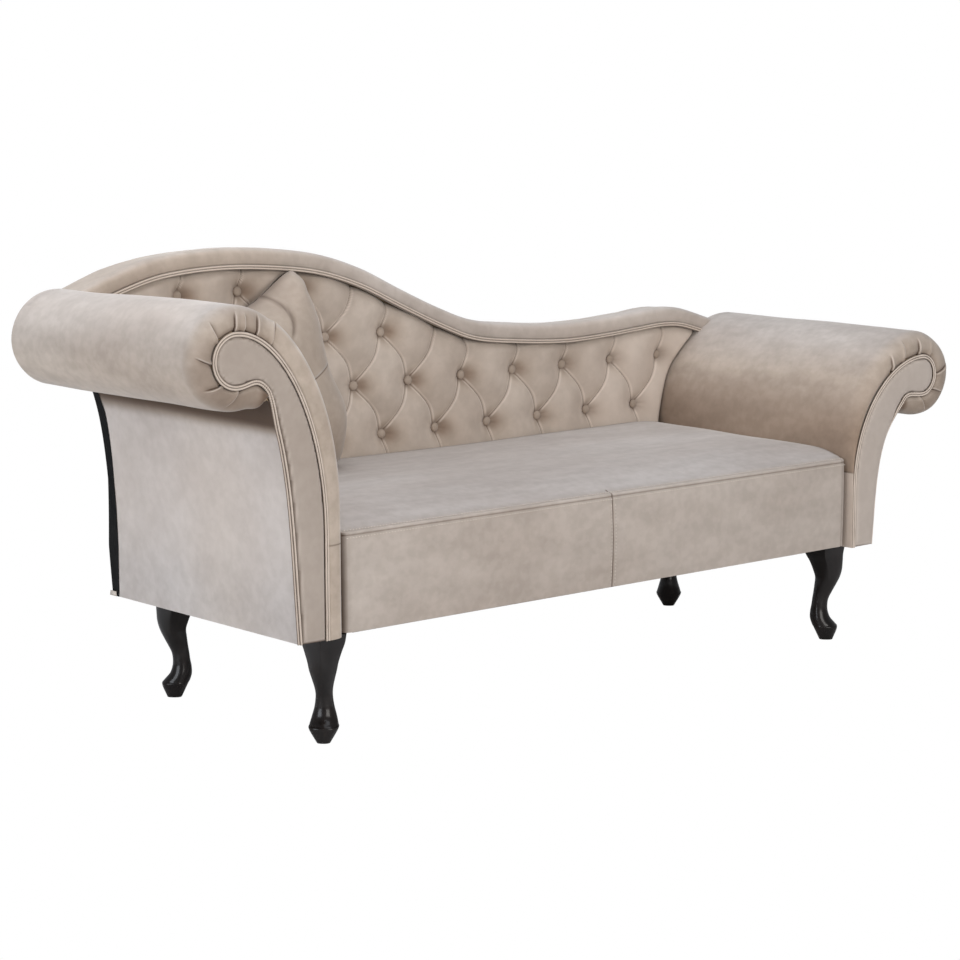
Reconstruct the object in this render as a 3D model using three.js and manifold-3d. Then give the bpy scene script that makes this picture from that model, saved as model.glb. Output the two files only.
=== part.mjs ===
// A fainting couch in velvet: one high scroll arm, one low scroll arm, a buttoned back whose top
// falls in a long wave between them, a fixed sprung seat, four bent legs and a loose cushion.
// Millimetres, +X along the couch towards the low arm, +Y towards the back, +Z up.
// The model is built about the middle of the seat's front and then moved, so that the origin is
// under the middle of the whole couch, on the floor.
import * as THREE from "three";
import { mergeVertices } from "three/addons/utils/BufferGeometryUtils.js";
import Module from "manifold-3d";

const wasm = await Module();
wasm.setup();

// Driving dimensions of the whole couch
const seatLength = 1363; // between the inner faces of the two arms
const armDepth = 594; // front of an arm to its rear face
const undersideHeight = 206; // floor to the bottom edge of the upholstery
const clearance = 0.3; // between two solids that touch
const overrun = 5; // how far a cutting tool runs past the wall that it cuts
const weldDistance = 0.001; // points closer than this are one point

// Timber
const railThickness = 22;
const railHeight = 88;
const boardThickness = 18;
const cornerBlockSize = 70;

// Seat
const seatFrontSetback = 10; // the seat's front panel lies behind the arms' fronts
const seatSeamHeight = 397; // the seam along the seat's front top edge
const seatCoverLift = 4; // the cover's lower edge above the arms' lower edges
const seatCrown = 33; // how far the seat swells above that seam
const seatFrontSwell = 4; // how far the front panel bulges between its corners
const seatCornerRadius = 20;
const seatSideGap = 1.5;
const coverThickness = 3;
const seatFrontRollDepth = 242; // how far back the front edge's roll reaches
const seatEndRollLength = 130; // how far each end's roll reaches along the seat
const seatEndDropShare = 0.45; // share of the crown that is lost at the very ends
const webbingThickness = 2;
const webbingStrapWidth = 50;
const webbingCrossStraps = 7;
const webbingLongStraps = 2;
const dustCoverThickness = 1.5;

// Legs
const legTopSide = 62;
const frontLegSetback = 63; // arm front to the middle of a front leg
const rearLegSetback = 56; // middle of a rear leg to the arm's rear face
const leftLegOffset = 3.5; // middle of a leg to the inner face of the arm above it
const rightLegOffset = -12;
const legPlateLength = 124;
const legPlateFrontReach = 27; // middle of a leg to its plate's edge nearer the outside
const legPlateInnerReach = 37;
const legPlateThickness = 4;
const legBoltRadius = 4;
const legBoltProud = 3; // how far a leg's bolt stands above its plate

// Arms. Distances outward are measured from an arm's inner face, away from the seat.
const leftArm = {
  side: -1,
  prefix: "left_arm",
  padThickness: 37.5,
  faceWidth: 65.5,
  backFootInset: 28, // how far the back's end lies inside the arm's outer face, at its foot
  backThroatInset: 44, // and under the scroll
  slopeStart: 440, // where the inner face stops being upright
  boardSlopeStart: 400,
  rollOut: 230,
  rollHeight: 731,
  rollRadius: 95,
  bandWidth: 43, // cover round the roll, from the scroll board's edge outward
  scrollOutset: 5, // the scroll's middle to the roll's middle, outward
  scrollDrop: 1,
};
const rightArm = {
  side: 1,
  prefix: "right_arm",
  padThickness: 3,
  faceWidth: 70,
  backFootInset: 20,
  backThroatInset: 20,
  slopeStart: 400,
  boardSlopeStart: 335,
  rollOut: 224,
  rollHeight: 563,
  rollRadius: 92,
  bandWidth: 46,
  scrollOutset: -6,
  scrollDrop: 3,
};
const slopeRiseShare = 0.6; // handles of the inner slope's curve, of its rise and of its reach
const slopeReachShare = 0.48;
const hookTangentShare = 0.6; // handles of the hook under the scroll, of the scroll's radius
const hookLiftOutShare = 0.87;
const hookLiftDropShare = 0.3;
const throatOutShare = 1.25;
const throatDropShare = 1.2;
const outerDropShare = 0.26; // handles of the outer side's curve, of its height
const outerRiseShare = 0.47;
const outerLean = 15; // how far the outer side's handles lean out past its foot
const outerPanelThickness = 4;
const bandRounding = 20; // the padding's front edge
const bandSwell = 4;
const bandSwellShare = 0.4; // places across the band where it swells most and where it turns
const bandShoulderShare = 0.85;
const facingProud = 5; // how far a facing stands in front of the arm's front plane
const facingDepth = 4.5; // how far it reaches behind that plane
const weltWidth = 9; // two cords side by side
const weltDepth = 6;
const weltFront = 2.6; // how far the cords stand in front of the arm's front plane
const rollRailWidth = 44;
const lobePinchShare = 0.35; // how deep the line between the two cords is drawn in

// Back
const backFrameDepth = 42;
const backBoardThickness = 4;
const backPadDepth = 33; // crest of the buttoned pad to the arms' rear faces
const backPadBottom = 402; // the pad's lower edge, hidden behind the seat
const backTopRailHeight = 60;
const backEndPostWidth = 26;
const backMiddlePostWidth = 26;
const backMiddlePostSpacing = 440;
const backWaveBase = 392; // the level that the wave's heights are measured from
const backHumpHeight = 484; // the top of the wave above that level
const backLeftReach = 188; // inner face of the left arm to the back's left end at its top
const backRightReach = 180;
const borderHeight = 33; // plain roll above the double cord
const borderSwell = 4; // how far the roll stands in front of the buttoned pad
const borderPadding = 10; // over the frame's top edge
const borderRearLip = 42;
const cordProud = 2; // how far the back's cords stand in front of the buttoned pad
const liningThickness = 3;
const liningTopGap = 14;
const buttonPitch = 145.3;
const buttonRowPitch = 106.6;
const buttonFirstRow = 467;
const buttonFirstColumn = -130.4;
const buttonRadius = 10;
const buttonRise = 6;
const pleatDepth = 9;
const pleatHalfWidth = 34;
const tuftDepth = 8;
const tuftRadius = 26;
const padEdgeRounding = 26;
const padEdgeDepth = 8;
const buttonMargin = 24; // no button sits nearer to the pad's edge than this

// Loose cushion. Its corners are set out from the high arm's inner face.
const cushionLeftFoot = 41;
const cushionRightFoot = 391;
const cushionLeftSlump = 125; // how far each upper corner lies nearer to the arm than its lower one
const cushionRightSlump = 101;
const cushionLeftRise = 357;
const cushionRightRise = 388;
const cushionTurn = 18; // its right side lies further back than its left
const cushionTilt = 26; // its top lies further back than its foot
const cushionTopDip = 48; // the top edge sinks between its corners
const cushionPinch = 4; // the sides are drawn in a little between the corners
const cushionFrontSwell = 113;
const cushionRearSwell = 34; // pressed flat against the buttoned pad
const cushionEdge = 14;
const cushionBackGap = 1; // between the cushion and the front of the back's plain roll

// Bolts
const boltRadius = 4;
const boltHeadRadius = 8;
const boltHeadHeight = 4;
const boltClearance = 0.3;
const boltSetbackShare = 0.25; // of the arm's depth, from each end
const boltHeightShare = 0.55; // of the rail's height

// Counts that set how fine the curves are
const slopeSteps = 8;
const scrollSteps = 12;
const hookSteps = 5;
const sideSteps = 7;
const roundSides = 8;
const legSides = 12;
const seatSteps = 10;
const cornerSteps = 3;
const waveSteps = 32;
const stepsPerFold = 3;
const buttonSides = 5;
const cushionSteps = 14;
const buttonRowLimit = 6; // more than fit, so that the pad's edge decides
const buttonColumnLimit = 8;
const pleatSharpness = 1.5;
const crownPower = 4;
const crownRootShare = 0.45;
const panelRingShares = [0, 0.35, 0.7, 0.92, 1];
const crownRiseShares = [0.3, 0.55, 0.75, 0.9, 0.98, 1];

// The front of the back's border roll: shares of its depth and of its height.
const borderRollShares = [
  [0.02, 0.85],
  [0, 0.5],
  [0.07, 0.15],
  [0.3, 0],
  [0.75, 0],
  [1, 0.3],
];

// The wave of the back's top edge, left to right. Each pair is a place along the seat's length,
// measured from its middle, and a share of the hump's height above the wave's base.
const backWaveShares = [
  [-0.71, 0.8],
  [-0.638, 0.88],
  [-0.571, 0.948],
  [-0.503, 0.983],
  [-0.398, 0.999],
  [-0.291, 0.981],
  [-0.217, 0.95],
  [-0.142, 0.889],
  [-0.065, 0.794],
  [0.015, 0.693],
  [0.075, 0.63],
  [0.15, 0.591],
  [0.266, 0.566],
  [0.354, 0.572],
  [0.43, 0.589],
  [0.489, 0.599],
  [0.536, 0.587],
  [0.631, 0.517],
  [0.7, 0.46],
];

// A leg's rings from its top down. Each row is a height as a share of the leg's, then shares of
// the top's half diagonal: the outer edge, the inner edge and half the width across, and last how
// round the ring is, from one for a square to two for an ellipse.
const legRingShares = [
  [1, 1, -1, 1, 1.08],
  [0.91, 0.93, -0.92, 0.93, 1.1],
  [0.83, 0.91, -0.71, 0.8, 1.2],
  [0.74, 0.88, -0.54, 0.67, 1.4],
  [0.66, 0.775, -0.43, 0.59, 1.6],
  [0.58, 0.59, -0.456, 0.49, 1.9],
  [0.5, 0.39, -0.5, 0.4, 2],
  [0.43, 0.24, -0.55, 0.365, 2],
  [0.36, 0.196, -0.59, 0.39, 2],
  [0.3, 0.22, -0.64, 0.44, 2],
  [0.23, 0.34, -0.65, 0.53, 2],
  [0.165, 0.6, -0.56, 0.61, 2.3],
  [0.125, 0.684, -0.46, 0.62, 2.6],
  [0, 0.47, -0.18, 0.29, 2.6],
];

// Materials
const velvet = new THREE.MeshStandardMaterial({ color: 0xc4b3a1, roughness: 0.85, metalness: 0 });
const velvetTrim = new THREE.MeshStandardMaterial({ color: 0xb9a793, roughness: 0.85, metalness: 0 });
const blackWood = new THREE.MeshStandardMaterial({ color: 0x1c1715, roughness: 0.3, metalness: 0 });
const timber = new THREE.MeshStandardMaterial({ color: 0xcaa978, roughness: 0.8, metalness: 0 });
const foam = new THREE.MeshStandardMaterial({ color: 0xe8e1cc, roughness: 0.95, metalness: 0 });
const lining = new THREE.MeshStandardMaterial({ color: 0x121212, roughness: 0.5, metalness: 0 });
const steel = new THREE.MeshStandardMaterial({ color: 0x9a9a98, roughness: 0.4, metalness: 1 });

// Places that follow from the driving dimensions
for (const arm of [leftArm, rightArm]) {
  arm.scrollOut = arm.rollOut + arm.scrollOutset;
  arm.scrollHeight = arm.rollHeight - arm.scrollDrop;
  arm.scrollRadius = arm.rollRadius - arm.bandWidth;
}
const halfSeat = seatLength / 2;
const seatSide = halfSeat - seatSideGap;
const backPadFace = armDepth - backPadDepth;
const seatRearFace = backPadFace - clearance;
const seatTop = seatSeamHeight + seatCrown;
const frameBottom = undersideHeight + legPlateThickness + 2 * clearance;
const frameTop = frameBottom + railHeight;
const boardFront = facingDepth + clearance;
const boardRear = boardFront + boardThickness;
const rearBoardRear = armDepth - facingDepth - clearance;
const rearBoardFront = rearBoardRear - boardThickness;
const backBoardFront = armDepth + clearance;
const backFrameFront = backBoardFront + backBoardThickness + clearance;
const backFrameRear = backFrameFront + backFrameDepth;
const cordDrop = borderHeight + weltWidth / 2; // the wave's top to the middle of its double cord
const cordFoot = borderHeight + weltWidth;
const padAirGap = 2 * clearance; // soft pieces keep this off each other
const couch = new THREE.Group();

// Helpers for solids

// Adds a named mesh to the couch.
function addPart(name, geometry, material) {
  geometry.computeVertexNormals();
  const mesh = new THREE.Mesh(geometry, material);
  mesh.name = name;
  couch.add(mesh);
  return mesh;
}

// A geometry from points and triangles, turned so that its faces point outwards.
function closedGeometry(points, triangles) {
  const edgeOne = new THREE.Vector3();
  const edgeTwo = new THREE.Vector3();
  let volume = 0;
  for (let i = 0; i < triangles.length; i += 3) {
    const [a, b, c] = [points[triangles[i]], points[triangles[i + 1]], points[triangles[i + 2]]];
    volume += edgeOne.copy(a).dot(edgeTwo.copy(b).cross(c));
  }
  const facing = volume < 0 ? triangles.slice().reverse() : triangles;
  const geometry = new THREE.BufferGeometry().setFromPoints(points);
  geometry.setIndex(facing);
  return geometry;
}

// Triangles that close a flat ring of points, seen from the side that the ring runs round.
function capTriangles(ring) {
  const normal = new THREE.Vector3();
  ring.forEach((p, i) => {
    const q = ring[(i + 1) % ring.length];
    normal.add(new THREE.Vector3().crossVectors(p, q));
  });
  normal.normalize();
  const along = new THREE.Vector3().subVectors(ring[1], ring[0]).normalize();
  const across = new THREE.Vector3().crossVectors(normal, along);
  const flat = ring.map((p) => new THREE.Vector2(p.dot(along), p.dot(across)));
  return THREE.ShapeUtils.triangulateShape(flat, []);
}

// A closed solid through a row of rings that all have the same count of points.
function loft(rings) {
  const count = rings[0].length;
  const triangles = [];
  for (let ring = 0; ring + 1 < rings.length; ring += 1) {
    for (let i = 0; i < count; i += 1) {
      const a = ring * count + i;
      const b = ring * count + ((i + 1) % count);
      triangles.push(a, b, b + count, a, b + count, a + count);
    }
  }
  const last = (rings.length - 1) * count;
  for (const [a, b, c] of capTriangles(rings[0])) {
    triangles.push(c, b, a);
  }
  for (const [a, b, c] of capTriangles(rings[rings.length - 1])) {
    triangles.push(last + a, last + b, last + c);
  }
  return closedGeometry(rings.flat(), triangles);
}

// A closed solid between two surfaces over the same grid of columns and rows.
function gridSolid(columns, rows, front, back) {
  const points = [];
  for (const surface of [front, back]) {
    for (let j = 0; j <= rows; j += 1) {
      for (let i = 0; i <= columns; i += 1) {
        points.push(surface(i / columns, j / rows, i, j));
      }
    }
  }
  const width = columns + 1;
  const layer = width * (rows + 1);
  const triangles = [];
  const at = (i, j) => j * width + i;
  for (let j = 0; j < rows; j += 1) {
    for (let i = 0; i < columns; i += 1) {
      const [a, b, c, d] = [at(i, j), at(i + 1, j), at(i + 1, j + 1), at(i, j + 1)];
      const even = (i + j) % 2 === 0;
      const faces = even ? [a, b, c, a, c, d] : [a, b, d, b, c, d];
      triangles.push(...faces);
      triangles.push(...faces.map((index) => index + layer).reverse());
    }
  }
  const rim = rimOf(columns, rows);
  rim.forEach((a, k) => {
    const b = rim[(k + 1) % rim.length];
    triangles.push(b, a, a + layer, b, a + layer, b + layer);
  });
  return closedGeometry(points, triangles);
}

// A closed solid with a modelled front over a grid and one flat face behind it.
function reliefSolid(columns, rows, front, rearY) {
  const width = columns + 1;
  const points = [];
  for (let j = 0; j <= rows; j += 1) {
    for (let i = 0; i <= columns; i += 1) points.push(front(i / columns, j / rows));
  }
  const triangles = [];
  for (let j = 0; j < rows; j += 1) {
    for (let i = 0; i < columns; i += 1) {
      const a = j * width + i;
      const [b, c, d] = [a + 1, a + width + 1, a + width];
      triangles.push(...((i + j) % 2 === 0 ? [a, b, c, a, c, d] : [a, b, d, b, c, d]));
    }
  }
  const rim = rimOf(columns, rows);
  const rear = points.length;
  for (const index of rim) {
    const p = points[index];
    points.push(new THREE.Vector3(p.x, rearY, p.z));
  }
  rim.forEach((a, k) => {
    const next = (k + 1) % rim.length;
    triangles.push(rim[next], a, rear + k, rim[next], rear + k, rear + next);
  });
  const flat = rim.map((index) => point(points[index].x, points[index].z));
  for (const [a, b, c] of THREE.ShapeUtils.triangulateShape(flat, [])) {
    triangles.push(rear + c, rear + b, rear + a);
  }
  return closedGeometry(points, triangles);
}

// The points round the edge of a grid, in order.
function rimOf(columns, rows) {
  const at = (i, j) => j * (columns + 1) + i;
  const rim = [];
  for (let i = 0; i < columns; i += 1) rim.push(at(i, 0));
  for (let j = 0; j < rows; j += 1) rim.push(at(columns, j));
  for (let i = columns; i > 0; i -= 1) rim.push(at(i, rows));
  for (let j = rows; j > 0; j -= 1) rim.push(at(0, j));
  return rim;
}

// A box between two corners.
function boxBetween(x0, x1, y0, y1, z0, z1) {
  const geometry = new THREE.BoxGeometry(x1 - x0, y1 - y0, z1 - z0);
  geometry.translate((x0 + x1) / 2, (y0 + y1) / 2, (z0 + z1) / 2);
  return geometry;
}

// An outline drawn in X and Z, carried along Y from front to rear.
function prism(outline, front, rear) {
  const shape = new THREE.Shape(outline);
  const geometry = new THREE.ExtrudeGeometry(shape, { depth: rear - front, bevelEnabled: false });
  geometry.rotateX(Math.PI / 2);
  geometry.translate(0, rear, 0);
  return geometry;
}

// A round bar along X.
function barAlongX(x0, x1, y, z, radius) {
  const geometry = new THREE.CylinderGeometry(radius, radius, Math.abs(x1 - x0), roundSides);
  geometry.rotateZ(Math.PI / 2);
  geometry.translate((x0 + x1) / 2, y, z);
  return geometry;
}

// Joining and cutting
function solidOf(geometry) {
  const bare = geometry.clone();
  bare.deleteAttribute("normal");
  bare.deleteAttribute("uv");
  const merged = mergeVertices(bare, weldDistance);
  const mesh = new wasm.Mesh({
    numProp: 3,
    vertProperties: merged.attributes.position.array,
    triVerts: new Uint32Array(merged.index.array),
  });
  return new wasm.Manifold(mesh);
}

function geometryOf(solid) {
  const mesh = solid.getMesh();
  const geometry = new THREE.BufferGeometry();
  geometry.setAttribute("position", new THREE.BufferAttribute(mesh.vertProperties, 3));
  geometry.setIndex(new THREE.BufferAttribute(mesh.triVerts, 1));
  return geometry;
}

function cut(geometry, ...tools) {
  return geometryOf(tools.reduce((rest, tool) => rest.subtract(solidOf(tool)), solidOf(geometry)));
}

function join(geometry, ...others) {
  return geometryOf(others.reduce((whole, other) => whole.add(solidOf(other)), solidOf(geometry)));
}

function common(one, two) {
  return geometryOf(solidOf(one).intersect(solidOf(two)));
}

// Outlines of the arms, in distance outward and height

function point(out, height) {
  return new THREE.Vector2(out, height);
}

// The curve from an upright inner face up to the top of a roll.
function slopeCurve(startOut, startHeight, endOut, endHeight) {
  const rise = (endHeight - startHeight) * slopeRiseShare;
  const reach = (endOut - startOut) * slopeReachShare;
  return new THREE.CubicBezierCurve(
    point(startOut, startHeight),
    point(startOut, startHeight + rise),
    point(endOut - reach, endHeight),
    point(endOut, endHeight),
  );
}

// Points on a circle from the top round the outside, by the angle that is swept.
function arcPoints(out, height, radius, sweep, steps) {
  const points = [];
  for (let i = 1; i <= steps; i += 1) {
    const angle = Math.PI / 2 - (sweep * i) / steps;
    points.push(point(out + radius * Math.cos(angle), height + radius * Math.sin(angle)));
  }
  return points;
}

// Moves an open line sideways by a distance; positive is to the left of its direction.
function offsetLine(line, distance) {
  return line.map((p, i) => {
    const before = line[Math.max(i - 1, 0)];
    const after = line[Math.min(i + 1, line.length - 1)];
    const inward = p.clone().sub(before);
    const onward = after.clone().sub(p);
    const first = (i > 0 ? inward : onward).normalize();
    const second = (i + 1 < line.length ? onward : inward).normalize();
    const normal = point(-(first.y + second.y), first.x + second.x);
    const spread = normal.length();
    return p.clone().addScaledVector(normal.divideScalar(spread), (2 * distance) / spread);
  });
}

// The edge of an arm's scroll board: up the inner side, round the scroll and into the throat.
function boardInnerLine(arm) {
  const slope = slopeCurve(
    arm.padThickness,
    arm.boardSlopeStart,
    arm.scrollOut,
    arm.scrollHeight + arm.scrollRadius,
  );
  const { scrollOut, scrollHeight, scrollRadius } = arm;
  const hook = new THREE.CubicBezierCurve(
    point(scrollOut, scrollHeight - scrollRadius),
    point(scrollOut - hookTangentShare * scrollRadius, scrollHeight - scrollRadius),
    point(scrollOut - hookLiftOutShare * scrollRadius, scrollHeight - hookLiftDropShare * scrollRadius),
    throat(arm),
  );
  return [
    point(arm.padThickness, undersideHeight),
    ...slope.getPoints(slopeSteps),
    ...arcPoints(scrollOut, scrollHeight, scrollRadius, Math.PI, scrollSteps),
    ...hook.getPoints(hookSteps).slice(1),
  ];
}

// The point under the scroll where the outer side begins.
function throat(arm) {
  return point(
    arm.scrollOut - throatOutShare * arm.scrollRadius,
    arm.scrollHeight - throatDropShare * arm.scrollRadius,
  );
}

// The outer side of an arm, from the throat down to its foot.
function outerLine(arm) {
  const start = throat(arm);
  const foot = arm.padThickness + arm.faceWidth;
  const height = start.y - undersideHeight;
  const side = new THREE.CubicBezierCurve(
    start,
    point(foot + outerLean, start.y - outerDropShare * height),
    point(foot + outerLean, undersideHeight + outerRiseShare * height),
    point(foot, undersideHeight),
  );
  return side.getPoints(sideSteps);
}

// The line that the arm's inner cover follows, point for point with the board's inner line.
function padOuterLine(arm) {
  const slope = slopeCurve(0, arm.slopeStart, arm.rollOut, arm.rollHeight + arm.rollRadius);
  const start = throat(arm);
  const endAngle = Math.atan2(start.y - arm.rollHeight, start.x - arm.rollOut);
  const sweep = Math.PI / 2 - endAngle;
  return [
    point(0, undersideHeight),
    ...slope.getPoints(slopeSteps),
    ...arcPoints(arm.rollOut, arm.rollHeight, arm.rollRadius, sweep, scrollSteps + hookSteps),
  ];
}

// How far out the arm's cover lies at a height, up to the top of its roll.
function armFaceOut(arm, height) {
  const line = padOuterLine(arm).slice(0, slopeSteps + 2);
  let out = 0;
  for (let i = 0; i + 1 < line.length; i += 1) {
    const [low, high] = [line[i], line[i + 1]];
    if (height >= low.y && high.y > low.y) {
      const share = Math.min((height - low.y) / (high.y - low.y), 1);
      out = low.x + share * (high.x - low.x);
    }
  }
  return out;
}

// A point of an arm's outline in the couch's frame.
function armX(arm, out) {
  return arm.side * (halfSeat + out);
}

function place(arm, p, y) {
  return new THREE.Vector3(armX(arm, p.x), y, p.y);
}

function armOutline(arm, line) {
  return line.map((p) => point(armX(arm, p.x), p.y));
}

// Arm pieces

// The closed outline of a scroll board, inside the outer panel.
function boardOutline(arm, inset) {
  const inner = offsetLine(boardInnerLine(arm), -inset);
  const outer = offsetLine(outerLine(arm), -(outerPanelThickness + clearance + inset));
  return [...inner, ...outer.slice(1)];
}

function scrollBoard(arm, front, rear) {
  return prism(armOutline(arm, boardOutline(arm, 0)), front, rear);
}

// Foam and cover that wrap the inner side and the roll, drawn in along the front edge.
function armPadding(arm) {
  const outer = padOuterLine(arm);
  const inner = offsetLine(boardInnerLine(arm), clearance);
  const rings = outer.map((out, i) => {
    const across = (share) => inner[i].clone().lerp(out, share);
    return [
      place(arm, inner[i], weltDepth - weltFront),
      place(arm, across(bandSwellShare), -bandSwell),
      place(arm, across(bandShoulderShare), 0),
      place(arm, out, bandRounding),
      place(arm, out, armDepth - bandRounding / 2),
      place(arm, across(bandShoulderShare), armDepth),
      place(arm, inner[i], armDepth),
    ];
  });
  return loft(rings);
}

// The thin board and cloth that close an arm's outer side.
function outerPanel(arm) {
  const outside = outerLine(arm);
  const inside = offsetLine(outside, -outerPanelThickness);
  const panel = [...outside, ...inside.reverse()];
  const sheet = prism(armOutline(arm, panel), weltDepth - weltFront, armDepth);
  const boards = prism(armOutline(arm, boardOutline(arm, -clearance)), -overrun, armDepth + overrun);
  return cut(sheet, boards);
}

// The padded panel inside the double cord, with its edge pulled in.
function frontFacing(arm) {
  const inset = weltWidth + clearance + facingProud / 2;
  const outline = armOutline(arm, boardOutline(arm, inset));
  const lifted = outline.map((p) => point(p.x, Math.max(p.y, undersideHeight + facingProud / 2)));
  const shape = new THREE.Shape(lifted);
  const geometry = new THREE.ExtrudeGeometry(shape, {
    depth: facingDepth,
    bevelThickness: facingProud,
    bevelSize: facingProud / 2,
    bevelSegments: 2,
  });
  geometry.rotateX(Math.PI / 2);
  geometry.translate(0, facingDepth, 0);
  const keep = prism(armOutline(arm, boardOutline(arm, inset - facingProud)), -2 * facingProud, facingDepth);
  return common(geometry, keep);
}

// Two cords sewn side by side along the edge of a facing, from foot to foot.
function doubleCord(path, lift) {
  const lobes = roundSides;
  const middle = path.map((p, i) => {
    const before = path[Math.max(i - 1, 0)];
    const after = path[Math.min(i + 1, path.length - 1)];
    return { p, along: after.clone().sub(before).normalize() };
  });
  return middle.map(({ p, along }) => {
    const ring = [];
    for (let k = 0; k < lobes; k += 1) {
      const angle = (2 * Math.PI * k) / lobes;
      const pinch = 1 - lobePinchShare * Math.cos(angle * 2 + Math.PI) ** 2 * Math.abs(Math.sin(angle));
      const sideways = (weltWidth / 2) * Math.cos(angle);
      const depth = (weltDepth / 2) * Math.sin(angle) * pinch;
      const across = point(-along.y, along.x).multiplyScalar(sideways);
      ring.push({ at: p.clone().add(across), y: lift - depth });
    }
    return ring;
  });
}

function facingCord(arm) {
  const edge = boardOutline(arm, weltWidth / 2 + clearance / 2);
  const rings = doubleCord(edge, weltDepth / 2 - weltFront);
  return loft(rings.map((ring) => ring.map(({ at, y }) => place(arm, at, y))));
}

function buildArm(arm) {
  const name = (piece) => `${arm.prefix}_${piece}`;
  const boltSpots = armBoltSpots(arm);
  const frontBoard = scrollBoard(arm, boardFront, boardRear);
  const rearBoard = scrollBoard(arm, rearBoardFront, rearBoardRear);
  addPart(name("front_board"), frontBoard, timber);
  addPart(name("rear_board"), rearBoard, timber);

  const railIn = arm.padThickness + clearance;
  const railOut = railIn + railThickness;
  const bottomRail = boxBetween(
    ...ordered(armX(arm, railIn), armX(arm, railOut)),
    boardRear + clearance,
    rearBoardFront - clearance,
    frameBottom,
    frameTop,
  );
  addPart(name("bottom_rail"), cut(bottomRail, ...boltSpots.map((spot) => boltHole(arm, spot))), timber);

  const rollRail = boxBetween(
    ...ordered(
      armX(arm, arm.scrollOut - rollRailWidth / 2),
      armX(arm, arm.scrollOut + rollRailWidth / 2),
    ),
    boardRear + clearance,
    rearBoardFront - clearance,
    arm.scrollHeight,
    arm.scrollHeight + railThickness,
  );
  addPart(name("roll_rail"), rollRail, timber);

  const boltWays = boltSpots.map((spot) => boltHole(arm, spot));
  const cuts = [armCore(arm), ...platePockets, ...boltWays];
  addPart(name("padding"), cut(armPadding(arm), ...cuts), velvet);
  addPart(name("outer_panel"), outerPanel(arm), velvet);
  addPart(name("facing"), frontFacing(arm), velvet);
  addPart(name("welt"), facingCord(arm), velvetTrim);
  const rearFacing = prism(
    armOutline(arm, boardOutline(arm, clearance)),
    rearBoardRear + clearance,
    armDepth,
  );
  addPart(name("rear_facing"), rearFacing, velvet);
  boltSpots.forEach((spot, i) => addPart(name(`bolt_${i + 1}`), armBolt(arm, spot), steel));
}

function ordered(a, b) {
  return a < b ? [a, b] : [b, a];
}

// Bolts that pull an arm's bottom rail against the seat's end rail

function armBoltSpots() {
  const height = frameBottom + boltHeightShare * railHeight;
  return [boltSetbackShare, 1 - boltSetbackShare].map((share) => point(share * armDepth, height));
}

function boltHole(arm, spot) {
  const start = armX(arm, -(seatSideGap + coverThickness + railThickness + overrun));
  const end = armX(arm, arm.padThickness + railThickness + overrun);
  return barAlongX(start, end, spot.x, spot.y, boltRadius + boltClearance);
}

function armBolt(arm, spot) {
  const headStart = arm.padThickness + railThickness + 2 * clearance;
  const tip = -(seatSideGap + coverThickness + railThickness + clearance);
  const shankEnd = headStart + boltHeadHeight / 2;
  const shank = barAlongX(armX(arm, tip), armX(arm, shankEnd), spot.x, spot.y, boltRadius);
  const head = barAlongX(
    armX(arm, headStart),
    armX(arm, headStart + boltHeadHeight),
    spot.x,
    spot.y,
    boltHeadRadius,
  );
  return join(shank, head);
}


// The space that an arm's boards and outer panel take, from front to rear.
function armCore(arm) {
  const inner = offsetLine(boardInnerLine(arm), clearance / 2);
  const outer = offsetLine(outerLine(arm), clearance);
  return prism(armOutline(arm, [...inner, ...outer]), -overrun * 2, armDepth + overrun);
}

// The space below an arm's inner slope, out past the arm, grown by a gap.
function armSide(arm, gap) {
  const slope = padOuterLine(arm).slice(0, slopeSteps + 2);
  const line = offsetLine(slope, gap);
  const far = arm.rollOut + arm.rollRadius;
  const outside = [point(far, line[line.length - 1].y), point(far, undersideHeight)];
  return prism(armOutline(arm, [...line, ...outside]), -overrun, armDepth + clearance / 2);
}

// Legs

// Places of the four legs: name, side, middle along the couch and from the front.
const legSpots = [
  ["front_left", -1, -halfSeat - leftLegOffset, frontLegSetback, -1],
  ["rear_left", -1, -halfSeat - leftLegOffset, armDepth - rearLegSetback, 1],
  ["front_right", 1, halfSeat + rightLegOffset, frontLegSetback, -1],
  ["rear_right", 1, halfSeat + rightLegOffset, armDepth - rearLegSetback, 1],
].map(([name, side, x, y, depthSide]) => ({ name, side, x, y, depthSide }));

const platePockets = legSpots.map((spot) => platePocket(spot));

function plateBox(spot, grow, bottom, top) {
  const along = legPlateLength / 2 + grow;
  const outside = legPlateFrontReach + grow;
  const inside = legPlateInnerReach + grow;
  const [y0, y1] = ordered(spot.y + spot.depthSide * outside, spot.y - spot.depthSide * inside);
  return boxBetween(spot.x - along, spot.x + along, y0, y1, bottom, top);
}

function platePocket(spot) {
  const pocket = plateBox(spot, clearance, undersideHeight - overrun, frameBottom);
  const boltTop = frameBottom + legBoltProud + clearance;
  const bolt = barUp(spot.x, spot.y, frameBottom - overrun, boltTop, legBoltRadius + boltClearance);
  return join(pocket, bolt);
}

function barUp(x, y, bottom, top, radius) {
  const geometry = new THREE.CylinderGeometry(radius, radius, top - bottom, roundSides);
  geometry.rotateX(Math.PI / 2);
  geometry.translate(x, y, (bottom + top) / 2);
  return geometry;
}

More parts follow.
